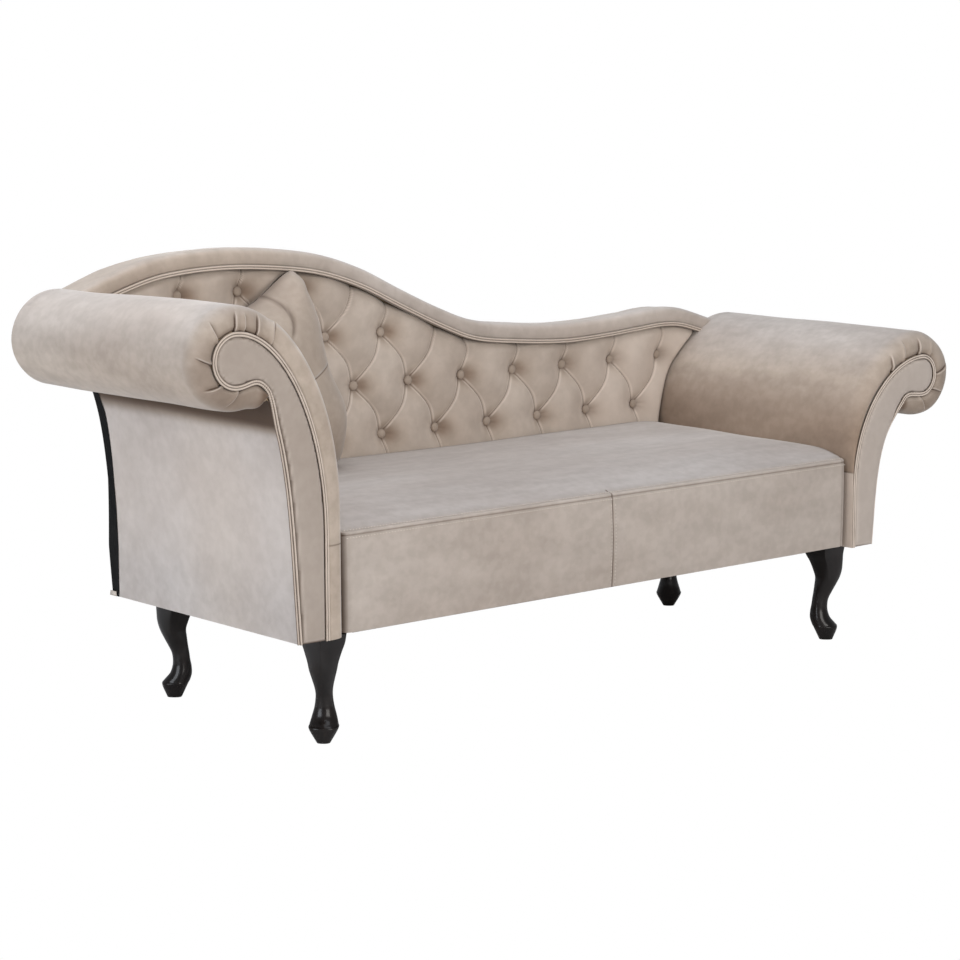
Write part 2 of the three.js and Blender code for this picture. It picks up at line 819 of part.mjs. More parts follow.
// A ring of a leg, round the diagonal that points away from the couch.
function legRing(spot, [heightShare, outerShare, innerShare, crossShare, roundness]) {
  const height = undersideHeight - clearance;
  const unit = legTopSide / Math.SQRT2;
  const middle = ((outerShare + innerShare) / 2) * unit;
  const half = ((outerShare - innerShare) / 2) * unit;
  const cross = crossShare * unit;
  const ring = [];
  for (let k = 0; k < legSides; k += 1) {
    const angle = (2 * Math.PI * k) / legSides;
    const [c, s] = [Math.cos(angle), Math.sin(angle)];
    const along = middle + half * Math.sign(c) * Math.abs(c) ** (2 / roundness);
    const across = cross * Math.sign(s) * Math.abs(s) ** (2 / roundness);
    ring.push(
      new THREE.Vector3(
        spot.x + (spot.side * (along - across)) / Math.SQRT2,
        spot.y + (spot.depthSide * (along + across)) / Math.SQRT2,
        heightShare * height,
      ),
    );
  }
  return ring;
}

function buildLegs() {
  for (const spot of legSpots) {
    const rings = legRingShares.map((row) => legRing(spot, row));
    const boltTop = frameBottom + legBoltProud;
    const bolt = barUp(spot.x, spot.y, undersideHeight - overrun, boltTop, legBoltRadius);
    addPart(`${spot.name}_leg`, join(loft(rings), bolt), blackWood);
    const plateBottom = undersideHeight + clearance / 2;
    const plate = plateBox(spot, 0, plateBottom, frameBottom - clearance);
    const holeRadius = legBoltRadius + boltClearance;
    const hole = barUp(spot.x, spot.y, undersideHeight - overrun, frameTop, holeRadius);
    addPart(`${spot.name}_leg_plate`, cut(plate, hole), steel);
  }
}

// Seat

// How far the crown has risen, as a share, at a share of the roll's reach from its edge.
function rollReachShare(riseShare) {
  return 1 - Math.sqrt(Math.max(0, 1 - riseShare));
}

// A level ring round the seat at a height, drawn in by a cover's thickness.
function seatRing(height, riseShare, inset, rear) {
  const frontReach = riseShare > 0 ? seatFrontRollDepth * rollReachShare(riseShare) : 0;
  const endRise = Math.max(0, (riseShare - (1 - seatEndDropShare)) / seatEndDropShare);
  const endReach = seatEndRollLength * rollReachShare(endRise);
  const side = seatSide - inset - endReach;
  const front = seatFrontSetback + inset + frontReach;
  const panelShare = (height - undersideHeight) / (seatSeamHeight - undersideHeight);
  const held = Math.min(Math.max(panelShare, 0), 1);
  const bulge = riseShare > 0 ? 0 : seatFrontSwell * Math.sin(Math.PI * held);
  const ring = [];
  for (let i = 0; i <= seatSteps; i += 1) {
    const share = i / seatSteps;
    const x = (2 * share - 1) * (side - seatCornerRadius);
    ring.push(new THREE.Vector3(x, front - bulge * Math.sin(Math.PI * share), height));
  }
  for (let i = 1; i <= cornerSteps; i += 1) {
    const angle = (Math.PI / 2) * (i / cornerSteps);
    const x = side - seatCornerRadius * (1 - Math.sin(angle));
    ring.push(new THREE.Vector3(x, front + seatCornerRadius * (1 - Math.cos(angle)), height));
  }
  ring.push(new THREE.Vector3(side, rear, height));
  ring.push(new THREE.Vector3(-side, rear, height));
  for (let i = 0; i < cornerSteps; i += 1) {
    const angle = (Math.PI / 2) * (1 - i / cornerSteps);
    const x = -side + seatCornerRadius * (1 - Math.sin(angle));
    ring.push(new THREE.Vector3(x, front + seatCornerRadius * (1 - Math.cos(angle)), height));
  }
  return ring;
}

// The seat's body: upright panels and a crown. Below the buttoned pad it may reach further back.
function seatBody(inset, bottom, rear, lowerRear) {
  const panelHeight = seatSeamHeight - inset - bottom;
  const rings = panelRingShares.map((share) =>
    seatRing(bottom + share * panelHeight, 0, inset, lowerRear),
  );
  const step = backPadBottom - clearance;
  const stepShare = Math.max(0, (step + inset - seatSeamHeight) / seatCrown);
  rings.push(seatRing(step, stepShare, inset, lowerRear));
  if (rear !== lowerRear) rings.push(seatRing(step, stepShare, inset, rear));
  for (const share of crownRiseShares) {
    if (share > stepShare) {
      rings.push(seatRing(seatSeamHeight + share * seatCrown - inset, share, inset, rear));
    }
  }
  return loft(rings);
}

function buildSeat() {
  const railSide = seatSide - coverThickness - clearance;
  const frontRailFront = seatFrontSetback + coverThickness + clearance;
  const frontRailRear = frontRailFront + railThickness;
  const rearRailRear = armDepth;
  const rearRailFront = rearRailRear - railThickness;
  const endRailInner = railSide - railThickness;
  const bolts = armBoltSpots();
  const holes = (arm) => bolts.map((spot) => boltHole(arm, spot));

  const rail = (x0, x1, y0, y1) => boxBetween(x0, x1, y0, y1, frameBottom, frameTop);
  const frontRailSide = railSide - seatCornerRadius;
  const frontRail = rail(-frontRailSide, frontRailSide, frontRailFront, frontRailRear);
  addPart("seat_front_rail", frontRail, timber);
  addPart("seat_rear_rail", rail(-railSide, railSide, rearRailFront, rearRailRear), timber);
  const endFront = frontRailRear + clearance;
  const endRear = rearRailFront - clearance;
  const leftRail = rail(-railSide, -endRailInner, endFront, endRear);
  const rightRail = rail(endRailInner, railSide, endFront, endRear);
  addPart("seat_left_rail", cut(leftRail, ...holes(leftArm), ...platePockets), timber);
  addPart("seat_right_rail", cut(rightRail, ...holes(rightArm), ...platePockets), timber);
  const centreHalf = railThickness / 2;
  addPart("seat_centre_rail", rail(-centreHalf, centreHalf, endFront, endRear), timber);

  const blockX = endRailInner - clearance;
  for (const [side, sideName] of [[-1, "left"], [1, "right"]]) {
    for (const [y, toRear, depthName] of [[endFront, 1, "front"], [endRear, -1, "rear"]]) {
      const block = cornerBlock(side * blockX, -side, y, toRear);
      addPart(`${depthName}_${sideName}_corner_block`, block, timber);
    }
  }

  addPart("seat_webbing", seatWebbing(frontRailSide, frontRailFront, rearRailRear), lining);
  const foamInset = coverThickness + 2 * padAirGap;
  const foamBottom = frameTop + webbingThickness + 2 * clearance;
  addPart("seat_foam", seatBody(foamInset, foamBottom, seatRearFace - clearance, armDepth), foam);
  const coverFoot = undersideHeight + seatCoverLift;
  const outside = seatBody(0, coverFoot, seatRearFace, seatRearFace);
  const inside = seatBody(coverThickness, undersideHeight - overrun, armDepth, armDepth);
  const endHoles = [...holes(leftArm), ...holes(rightArm)];
  addPart("seat_cover", cut(outside, inside, ...platePockets, ...endHoles), velvet);

  const sheetTop = frameBottom - clearance;
  const sheet = boxBetween(
    -endRailInner,
    endRailInner,
    frontRailFront,
    armDepth,
    sheetTop - dustCoverThickness,
    sheetTop,
  );
  addPart("seat_dust_cover", cut(sheet, ...platePockets), lining);
}

// A three-sided block glued into a corner of the seat's frame.
function cornerBlock(x, alongX, y, alongY) {
  const corner = [point(x, y), point(x + alongX * cornerBlockSize, y)];
  corner.push(point(x, y + alongY * cornerBlockSize));
  const shape = new THREE.Shape(corner);
  const depth = railHeight - 2 * clearance;
  const geometry = new THREE.ExtrudeGeometry(shape, { depth, bevelEnabled: false });
  geometry.translate(0, 0, frameBottom + clearance);
  return geometry;
}

// Straps stretched over the seat's frame, where they cross sewn into one.
function seatWebbing(side, front, rear) {
  const bottom = frameTop + clearance;
  const top = bottom + webbingThickness;
  const straps = [];
  for (let i = 0; i < webbingCrossStraps; i += 1) {
    const x = side * ((2 * (i + 1)) / (webbingCrossStraps + 1) - 1);
    const half = webbingStrapWidth / 2;
    straps.push(boxBetween(x - half, x + half, front, rear, bottom, top));
  }
  for (let i = 0; i < webbingLongStraps; i += 1) {
    const y = front + ((rear - front) * (i + 1)) / (webbingLongStraps + 1);
    const half = webbingStrapWidth / 2;
    straps.push(boxBetween(-side, side, y - half, y + half, bottom, top));
  }
  return join(...straps);
}

// Back

// Height of the wave of the back's top edge at a place along the couch.
function waveHeight(x) {
  const knots = backWaveShares.map(([along, up]) =>
    point(along * seatLength, backWaveBase + up * backHumpHeight),
  );
  let k = 1;
  while (k < knots.length - 3 && x > knots[k + 1].x) k += 1;
  const [p0, p1, p2, p3] = knots.slice(k - 1, k + 3);
  const t = (x - p1.x) / (p2.x - p1.x);
  const slopeOne = ((p2.y - p0.y) / (p2.x - p0.x)) * (p2.x - p1.x);
  const slopeTwo = ((p3.y - p1.y) / (p3.x - p1.x)) * (p2.x - p1.x);
  const startWeight = 2 * t ** 3 - 3 * t ** 2 + 1;
  const startSlopeWeight = t ** 3 - 2 * t ** 2 + t;
  const endWeight = 3 * t ** 2 - 2 * t ** 3;
  const endSlopeWeight = t ** 3 - t ** 2;
  return (
    startWeight * p1.y + startSlopeWeight * slopeOne + endWeight * p2.y + endSlopeWeight * slopeTwo
  );
}

// Points along the wave, lowered by a drop, from the left end to the right.
function waveLine(drop, inset) {
  const left = -halfSeat - backLeftReach + inset;
  const right = halfSeat + backRightReach - inset;
  const points = [];
  for (let i = 0; i <= waveSteps; i += 1) {
    const x = left + ((right - left) * i) / waveSteps;
    points.push(point(x, waveHeight(x) - drop));
  }
  return points;
}

// An upright edge of the back, from its foot to below the roll of an arm.
function backEdge(arm, inset) {
  const line = offsetLine(outerLine(arm), -inset);
  const [top, foot] = [throat(arm).y, undersideHeight];
  const drawn = line.map((p) => {
    const share = (p.y - foot) / (top - foot);
    const draw = arm.backFootInset + share * (arm.backThroatInset - arm.backFootInset);
    return point(p.x - draw, p.y);
  });
  return armOutline(arm, drawn.reverse());
}

function backOutline(drop, inset) {
  const left = backEdge(leftArm, inset);
  const right = backEdge(rightArm, inset).reverse();
  return [...left, ...waveLine(drop, inset), ...right];
}

// The band between two drops below the wave, running past both ends.
function waveBand(upperDrop, lowerDrop, front, rear) {
  const upper = waveLine(upperDrop, -overrun);
  const lower = waveLine(lowerDrop, -overrun).reverse();
  return prism([...upper, ...lower], front, rear);
}

// The strip of the back that lies outside a line set in from its edge.
function edgeStrip(arm, inset, front, rear) {
  const topEnd = point(
    arm.side * (halfSeat + (arm.side < 0 ? backLeftReach : backRightReach) - inset),
    backWaveBase + backHumpHeight,
  );
  const line = [...backEdge(arm, inset), topEnd];
  const far = armX(arm, arm.rollOut + arm.rollRadius);
  const outside = [point(far, topEnd.y), point(far, undersideHeight - overrun)];
  line.unshift(point(line[0].x, undersideHeight - overrun));
  return prism([...line, ...outside], front, rear);
}

// Middles of the buttons that fit inside the pad.
function buttonSpots() {
  const spots = [];
  const padTop = (x) => waveHeight(x) - cordFoot - buttonMargin;
  for (let row = 0; row < buttonRowLimit; row += 1) {
    const z = buttonFirstRow + row * buttonRowPitch;
    const shift = row % 2 === 0 ? 0 : buttonPitch / 2;
    for (let column = -buttonColumnLimit; column <= buttonColumnLimit; column += 1) {
      const x = buttonFirstColumn + shift + column * buttonPitch;
      const left = -halfSeat - armFaceOut(leftArm, z) + buttonMargin;
      const right = halfSeat + armFaceOut(rightArm, z) - buttonMargin;
      if (x > left && x < right && z < padTop(x)) spots.push({ x, z, row, column });
    }
  }
  return spots;
}

// Folds from each button to its neighbours above, or straight up and down at the edges.
function pleatLines(spots) {
  const find = (x, z) =>
    spots.find((s) => Math.hypot(s.x - x, s.z - z) < buttonRadius);
  const lines = [];
  for (const { x, z, row } of spots) {
    const above = [-1, 1].map((side) => find(x + (side * buttonPitch) / 2, z + buttonRowPitch));
    for (const end of above.filter(Boolean)) lines.push([x, z, end.x, end.z]);
    if (above.some((end) => !end)) lines.push([x, z, x, waveHeight(x)]);
    if (row === 0) lines.push([x, z, x, backPadBottom]);
  }
  return lines;
}

function distanceToLine(x, z, [x0, z0, x1, z1]) {
  const [dx, dz] = [x1 - x0, z1 - z0];
  const share = ((x - x0) * dx + (z - z0) * dz) / (dx * dx + dz * dz);
  const t = Math.min(Math.max(share, 0), 1);
  return Math.hypot(x - x0 - t * dx, z - z0 - t * dz);
}

// How far back the pad's face lies behind its crest at a place.
function padRelief(x, z, spots, lines) {
  const nearest = Math.min(...lines.map((line) => distanceToLine(x, z, line)));
  const fold = Math.max(0, 1 - nearest / pleatHalfWidth) ** pleatSharpness;
  const button = Math.min(...spots.map((spot) => Math.hypot(x - spot.x, z - spot.z)));
  const tuft = Math.exp(-((button / tuftRadius) ** 2));
  const edge = Math.max(0, 1 - (waveHeight(x) - cordFoot - z) / padEdgeRounding) ** 2;
  return pleatDepth * fold + tuftDepth * tuft + padEdgeDepth * Math.min(edge, 1);
}

// The pad's quilted block, its grid laid so that every fold runs along the edges of faces.
function quiltedBlock(spots) {
  const lines = pleatLines(spots);
  const stepX = buttonPitch / (2 * stepsPerFold);
  const stepZ = buttonRowPitch / stepsPerFold;
  const firstX = buttonFirstColumn - stepX * Math.ceil((halfSeat + backLeftReach) / stepX);
  const lastX = halfSeat + backRightReach;
  const columns = Math.ceil((lastX - firstX) / stepX);
  const belowRows = Math.ceil((buttonFirstRow - backPadBottom) / stepZ);
  const firstZ = buttonFirstRow - belowRows * stepZ;
  const rows = Math.ceil((backWaveBase + backHumpHeight - firstZ) / stepZ);
  const front = (u, v) => {
    const [x, z] = [firstX + u * columns * stepX, firstZ + v * rows * stepZ];
    return new THREE.Vector3(x, backPadFace + padRelief(x, z, spots, lines), z);
  };
  return reliefSolid(columns, rows, front, armDepth);
}

// A button with a low crown, standing in the bottom of its tuft.
function buttonDome(spot) {
  const profile = [point(0, -buttonRise / 2), point(buttonRadius, 0), point(0, buttonRise)];
  const geometry = new THREE.LatheGeometry(profile, buttonSides);
  const base = backPadFace + pleatDepth + tuftDepth;
  geometry.rotateX(Math.PI / 2);
  geometry.scale(1, -1, 1);
  geometry.translate(spot.x, base, spot.z);
  return closedGeometry(...trianglesOf(geometry));
}

// Points and triangles of a geometry with its doubled points merged.
function trianglesOf(geometry) {
  geometry.deleteAttribute("normal");
  geometry.deleteAttribute("uv");
  const merged = mergeVertices(geometry, weldDistance);
  const position = merged.attributes.position;
  const points = [];
  for (let i = 0; i < position.count; i += 1) {
    points.push(new THREE.Vector3().fromBufferAttribute(position, i));
  }
  return [points, Array.from(merged.index.array)];
}

function buildBack() {
  const armSides = [leftArm, rightArm].map((arm) => armSide(arm, padAirGap));
  const board = prism(backOutline(borderPadding, 0), backBoardFront, backBoardFront + backBoardThickness);
  addPart("back_board", board, timber);

  const frame = prism(backOutline(borderPadding, 0), backFrameFront, backFrameRear);
  const topBand = waveBand(-overrun, borderPadding + backTopRailHeight, 0, backFrameRear + overrun);
  addPart("back_top_rail", common(frame, topBand), timber);
  const wideBand = waveBand(
    -overrun,
    borderPadding + backTopRailHeight + clearance,
    0,
    backFrameRear + overrun,
  );
  const under = cut(frame, wideBand);
  const far = halfSeat + leftArm.rollOut + leftArm.rollRadius;
  const railTop = undersideHeight + railHeight;
  const lowBox = (top) => boxBetween(-far, far, 0, backFrameRear + overrun, 0, top);
  addPart("back_bottom_rail", common(under, lowBox(railTop)), timber);
  const posts = cut(under, lowBox(railTop + clearance));
  for (const arm of [leftArm, rightArm]) {
    const strip = edgeStrip(arm, backEndPostWidth, 0, backFrameRear + overrun);
    const side = arm.side < 0 ? "left" : "right";
    addPart(`back_${side}_post`, common(posts, strip), timber);
  }
  ["inner_left", "middle", "inner_right"].forEach((place, i) => {
    const x = (i - 1) * backMiddlePostSpacing;
    const half = backMiddlePostWidth / 2;
    const slot = boxBetween(x - half, x + half, 0, backFrameRear + overrun, 0, backWaveBase + backHumpHeight);
    addPart(`back_${place}_post`, common(posts, slot), timber);
  });

  const cordLine = waveLine(cordDrop, 0);
  const grooveHalf = weltWidth / 2 + clearance;
  const cordMiddle = backPadFace - cordProud + weltDepth / 2;
  const groove = prism(
    [...offsetLine(cordLine, grooveHalf), ...offsetLine(cordLine, -grooveHalf).reverse()],
    0,
    cordMiddle + weltDepth / 2 + clearance,
  );
  const spots = buttonSpots();
  const region = [...waveLine(cordFoot + clearance, 0)];
  region.push(point(region[region.length - 1].x, backPadBottom));
  region.unshift(point(region[0].x, backPadBottom));
  const padShape = prism(region, 0, armDepth);
  const pad = cut(common(quiltedBlock(spots), padShape), ...armSides);
  addPart("back_buttoned_pad", join(pad, ...spots.map(buttonDome)), velvet);

  const cordRings = doubleCord(cordLine, cordMiddle);
  const cord = loft(cordRings.map((ring) => ring.map(({ at, y }) => new THREE.Vector3(at.x, y, at.y))));
  addPart("back_welt", cut(cord, ...armSides), velvetTrim);

  addPart("back_border", cut(backBorder(), ...armSides, groove), velvet);

  const liningFront = backFrameRear + liningThickness + 2 * clearance;
  const sheet = prism(backOutline(liningTopGap, 0), liningFront, liningFront + liningThickness);
  addPart("back_lining", sheet, lining);
}

// The plain padded roll along the top of the back, wrapped over the frame.
function backBorder() {
  const front = backPadFace - borderSwell;
  const rearOut = backFrameRear + liningThickness + clearance;
  const rearIn = backFrameRear + clearance;
  const depth = rearOut - front;
  const roll = borderRollShares.map(([back, down]) => [front + back * depth, down * borderHeight]);
  const inner = borderPadding - clearance;
  const section = [
    [armDepth, cordFoot],
    [front + weltDepth, cordFoot],
    ...roll,
    [rearOut, borderRearLip],
    [rearIn, borderRearLip],
    [rearIn, inner],
    [armDepth, inner],
  ];
  const top = waveLine(0, 0);
  return loft(top.map((p) => section.map(([y, drop]) => new THREE.Vector3(p.x, y, p.y - drop))));
}

// Loose cushion, leaning back on the buttoned pad beside the high arm

// A square cushion with drawn-out corners, laid between four corners that slump towards the arm.
function buildCushion() {
  const armFace = armX(leftArm, 0);
  const foot = seatTop + clearance;
  const bottomLeft = new THREE.Vector3(armFace + cushionLeftFoot, 0, foot);
  const bottomRight = new THREE.Vector3(armFace + cushionRightFoot, cushionTurn, foot);
  const rise = (corner, slump, height) =>
    corner.clone().add(new THREE.Vector3(-slump, cushionTilt, height));
  const topLeft = rise(bottomLeft, cushionLeftSlump, cushionLeftRise);
  const topRight = rise(bottomRight, cushionRightSlump, cushionRightRise);
  const surface = (swell) => (u, v) => {
    const [a, b] = [2 * u - 1, 2 * v - 1];
    const low = bottomLeft.clone().lerp(bottomRight, u);
    const high = topLeft.clone().lerp(topRight, u);
    const at = low.lerp(high, v);
    at.z -= cushionTopDip * (1 - a * a) * v;
    at.x -= cushionPinch * (1 - b * b) * a;
    const crown = ((1 - a ** crownPower) * (1 - b ** crownPower)) ** crownRootShare;
    at.y += Math.sign(swell) * (cushionEdge / 2 + (Math.abs(swell) - cushionEdge / 2) * crown);
    return at;
  };
  const geometry = gridSolid(
    cushionSteps,
    cushionSteps,
    surface(-cushionFrontSwell),
    surface(cushionRearSwell),
  );
  geometry.computeBoundingBox();
  const borderFront = backPadFace - borderSwell;
  geometry.translate(0, borderFront - cushionBackGap - geometry.boundingBox.max.y, 0);
  addPart("scatter_cushion", geometry, velvet);
}

buildSeat();
buildLegs();
buildArm(leftArm);
buildArm(rightArm);
buildBack();
buildCushion();

// The origin goes under the middle of the couch, on the floor.
const extent = new THREE.Box3().setFromObject(couch);
const middleOfAll = extent.getCenter(new THREE.Vector3());
couch.position.set(-middleOfAll.x, -middleOfAll.y, -extent.min.z);

export default couch;
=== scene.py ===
# %% [markdown]
# A fainting couch in champagne velvet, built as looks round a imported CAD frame. The timber, metal,
# foam, webbing, rear lining, dust cover and rear facings come from the frame. The rest of the velvet,
# the cords, the threads, the legs and the lining on the two ends are made here.
# Lengths are millimetres in the couch's own frame: X from the middle of the seat, Y from the front
# of the arms, Z from the floor. One function turns them into the frame's metres.

import math

import bmesh
import bpy
import numpy as np
from mathutils import Matrix, Vector
from mathutils.geometry import delaunay_2d_cdt


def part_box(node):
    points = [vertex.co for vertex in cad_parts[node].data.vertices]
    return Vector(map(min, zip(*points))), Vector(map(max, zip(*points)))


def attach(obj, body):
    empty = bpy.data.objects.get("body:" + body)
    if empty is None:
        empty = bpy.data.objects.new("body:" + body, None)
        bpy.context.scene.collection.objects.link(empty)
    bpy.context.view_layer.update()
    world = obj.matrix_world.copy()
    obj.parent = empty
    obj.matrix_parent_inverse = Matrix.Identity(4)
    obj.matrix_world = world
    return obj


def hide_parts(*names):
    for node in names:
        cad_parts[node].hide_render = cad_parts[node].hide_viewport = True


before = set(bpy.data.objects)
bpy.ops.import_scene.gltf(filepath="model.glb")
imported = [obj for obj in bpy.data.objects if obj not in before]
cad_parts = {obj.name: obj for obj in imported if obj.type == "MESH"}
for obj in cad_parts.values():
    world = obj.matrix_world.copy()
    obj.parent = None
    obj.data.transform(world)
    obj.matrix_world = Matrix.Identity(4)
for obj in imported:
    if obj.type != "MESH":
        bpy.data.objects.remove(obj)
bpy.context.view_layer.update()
random = np.random.default_rng(7)

MM = 0.001
HALF_SEAT = 681.5
ARM_REACH = 325.0
ARM_DEPTH = 594.0
UNDERSIDE = 206.0
padding_low, padding_high = (np.array(corner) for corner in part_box("left_arm_padding"))
SHIFT = np.array([padding_low[0] / MM + HALF_SEAT + ARM_REACH, padding_high[1] / MM - ARM_DEPTH, 0.0])


def to_frame(points):
    """Millimetres in the couch's frame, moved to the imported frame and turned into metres."""
    return (np.asarray(points, dtype=float) + SHIFT) * MM


# %% [markdown]
# The camera stands at chest height, out beyond the high arm, and looks slantwise across the couch and a
# little down. A camera can be placed by eye, or solved from lengths that are known in the picture. This one
# was solved from such lengths, and its place and turns are given below as numbers.

# %% Camera
LENS_TURN = math.radians(40.568)
LENS_DROP = math.radians(9.03)
LENS_ROLL = math.radians(-0.132)
LENS_PLACE = [-3732.5, -3941.1, 1286.7]
PICTURE, FOCAL = 960, 2791.888
SENSOR = 36
ahead = Vector((
    math.sin(LENS_TURN) * math.cos(LENS_DROP),
    math.cos(LENS_TURN) * math.cos(LENS_DROP),
    -math.sin(LENS_DROP),
))
level = Vector((math.cos(LENS_TURN), -math.sin(LENS_TURN), 0))
above = level.cross(ahead)
right = level * math.cos(LENS_ROLL) + above * math.sin(LENS_ROLL)
above = above * math.cos(LENS_ROLL) - level * math.sin(LENS_ROLL)
lens = bpy.data.cameras.new("camera")
lens.sensor_width = SENSOR
lens.lens = SENSOR * FOCAL / PICTURE
camera = bpy.data.objects.new("camera", lens)
bpy.context.collection.objects.link(camera)
camera.matrix_world = Matrix.Translation(to_frame(LENS_PLACE)) @ Matrix(
    (right, above, -ahead)
).transposed().to_4x4()
bpy.context.scene.camera = camera
print("lens", round(lens.lens, 1), "mm")

# %% [markdown]
# The light is a studio's: one wide soft box overhead and slightly behind, one large warm panel in
# front on the camera's side, one cool panel at the high arm's end, and an even pale room. Velvet
# shows its form by sheen at grazing angles, so wide soft lights serve it better than small hard ones.

# %% Light and background
def white_to_camera(tree, lit, shown, output):
    """Sends the shown shader to the camera and the lit one to everything else."""
    path = tree.nodes.new("ShaderNodeLightPath")
    choose = tree.nodes.new("ShaderNodeMixShader")
    tree.links.new(path.outputs["Is Camera Ray"], choose.inputs["Fac"])
    tree.links.new(lit.outputs[0], choose.inputs[1])
    tree.links.new(shown.outputs[0], choose.inputs[2])
    tree.links.new(choose.outputs[0], output.inputs["Surface"])


world = bpy.data.worlds.new("room")
bpy.context.scene.world = world
world.use_nodes = True
world.node_tree.nodes.clear()
shaders = []
for colour, strength in (((0.93, 0.95, 1.0, 1), 0.30), ((1, 1, 1, 1), 1.0)):
    background = world.node_tree.nodes.new("ShaderNodeBackground")
    background.inputs["Color"].default_value = colour
    background.inputs["Strength"].default_value = strength
    shaders.append(background)
white_to_camera(world.node_tree, *shaders, world.node_tree.nodes.new("ShaderNodeOutputWorld"))


def soft_box(name, place, target, width, height, power, colour):
    """A rectangular light, turned to shine from its place at its target."""
    data = bpy.data.lights.new(name, "AREA")
    data.shape = "RECTANGLE"
    data.size, data.size_y = width, height
    data.energy = power
    data.color = colour
    box = bpy.data.objects.new(name, data)
    bpy.context.collection.objects.link(box)
    box.location = place
    direction = Vector(target) - Vector(place)
    box.rotation_euler = direction.to_track_quat("-Z", "Y").to_euler()


COOL, WARM = (0.90, 0.94, 1.0), (1.0, 0.965, 0.93)
soft_box("overhead", (-0.5, 0.1, 3.0), (0, 0, 0.4), 3.4, 1.8, 50, COOL)
soft_box("front_panel", (-0.9, -4.5, 1.9), (0.1, 0, 0.5), 2.6, 2.0, 92, WARM)
soft_box("left_panel", (-4.2, -0.3, 1.5), (-0.6, 0, 0.5), 2.2, 1.8, 66, COOL)
bpy.context.scene.view_settings.view_transform = "Standard"

# %% [markdown]
# Finishes are made of nodes only, because a picture of cloth would stretch over the rolls and repeat.
# Velvet is a dull pile with a soft sheen, in soft patches and streaks of tone, with light and shade painted
# into its colour: painted shade where the cloth turns in and under the rolls, painted highlights on lit
# edges, and a cool tint where the light falls. Stained beech is a near black with a satin coat. The frame's
# timber, foam, webbing and lining have plain finishes.

# %% Node helpers


def new_material(name):
    """An empty material with a shader and an output."""
    material = bpy.data.materials.new(name)
    material.use_nodes = True
    tree = material.node_tree
    tree.nodes.clear()
    shader = tree.nodes.new("ShaderNodeBsdfPrincipled")
    output = tree.nodes.new("ShaderNodeOutputMaterial")
    tree.links.new(shader.outputs[0], output.inputs["Surface"])
    return material, tree, shader


def noise(tree, scale, detail, stretch=(1, 1, 1)):
    """Noise over the object's own coordinates, stretched by a factor along each axis."""
    place = tree.nodes.new("ShaderNodeTexCoord")
    mapping = tree.nodes.new("ShaderNodeMapping")
    mapping.inputs["Scale"].default_value = stretch
    texture = tree.nodes.new("ShaderNodeTexNoise")
    texture.inputs["Scale"].default_value = scale
    texture.inputs["Detail"].default_value = detail
    tree.links.new(place.outputs["Object"], mapping.inputs["Vector"])
    tree.links.new(mapping.outputs[0], texture.inputs["Vector"])
    return texture.outputs["Fac"]


def ramp(tree, value, stops):
    """A colour ramp from pairs of place and colour."""
    node = tree.nodes.new("ShaderNodeValToRGB")
    for i, (place, colour) in enumerate(stops):
        stop = node.color_ramp.elements[i] if i < 2 else node.color_ramp.elements.new(place)
        stop.position = place
        stop.color = (*colour, 1)
    tree.links.new(value, node.inputs["Fac"])
    return node.outputs["Color"]


def mix(tree, share, one, two, kind="MIX"):
    """Two colours mixed by a share. Each may be a number, a colour or another node's output."""
    node = tree.nodes.new("ShaderNodeMix")
    node.data_type = "RGBA"
    node.blend_type = kind
    for socket, value in ((0, share), (6, one), (7, two)):
        if isinstance(value, (int, float)):
            node.inputs[socket].default_value = value
        elif isinstance(value, tuple):
            node.inputs[socket].default_value = (*value, 1)
        else:
            tree.links.new(value, node.inputs[socket])
    return node.outputs[2]


def bump(tree, shader, height, strength, distance):
    """Relief that is too fine for the mesh, from a height between nought and one."""
    node = tree.nodes.new("ShaderNodeBump")
    node.inputs["Strength"].default_value = strength
    node.inputs["Distance"].default_value = distance
    tree.links.new(height, node.inputs["Height"])
    tree.links.new(node.outputs[0], shader.inputs["Normal"])


# %% [markdown]
# The velvet gets painted light and shade from three attributes that the surface functions fill in: one tints
# the cloth from brown where shade falls to cool where the light falls, one paints it darker as shade in
# creases, hollows and shadows, and one paints highlights where the light catches it. A painted picture could
# do the same, but the attributes always stay with the shape.

# %% Velvet and the other finishes
PILE = (0.475, 0.392, 0.322)
PILE_LIGHT = (0.565, 0.482, 0.405)
# The colour that painted shade mixes in, and the colour that painted highlights mix in.
SHADE_COLOUR = (0.085, 0.052, 0.034)
HIGHLIGHT_COLOUR = (0.80, 0.69, 0.60)
# Tints of painted light and shade: brown for shade, white between, cool where the light falls.
SHADING_TINTS = [(0.0, (0.55, 0.46, 0.39)), (0.5, (1, 1, 1)), (1.0, (1.0, 1.09, 1.24))]


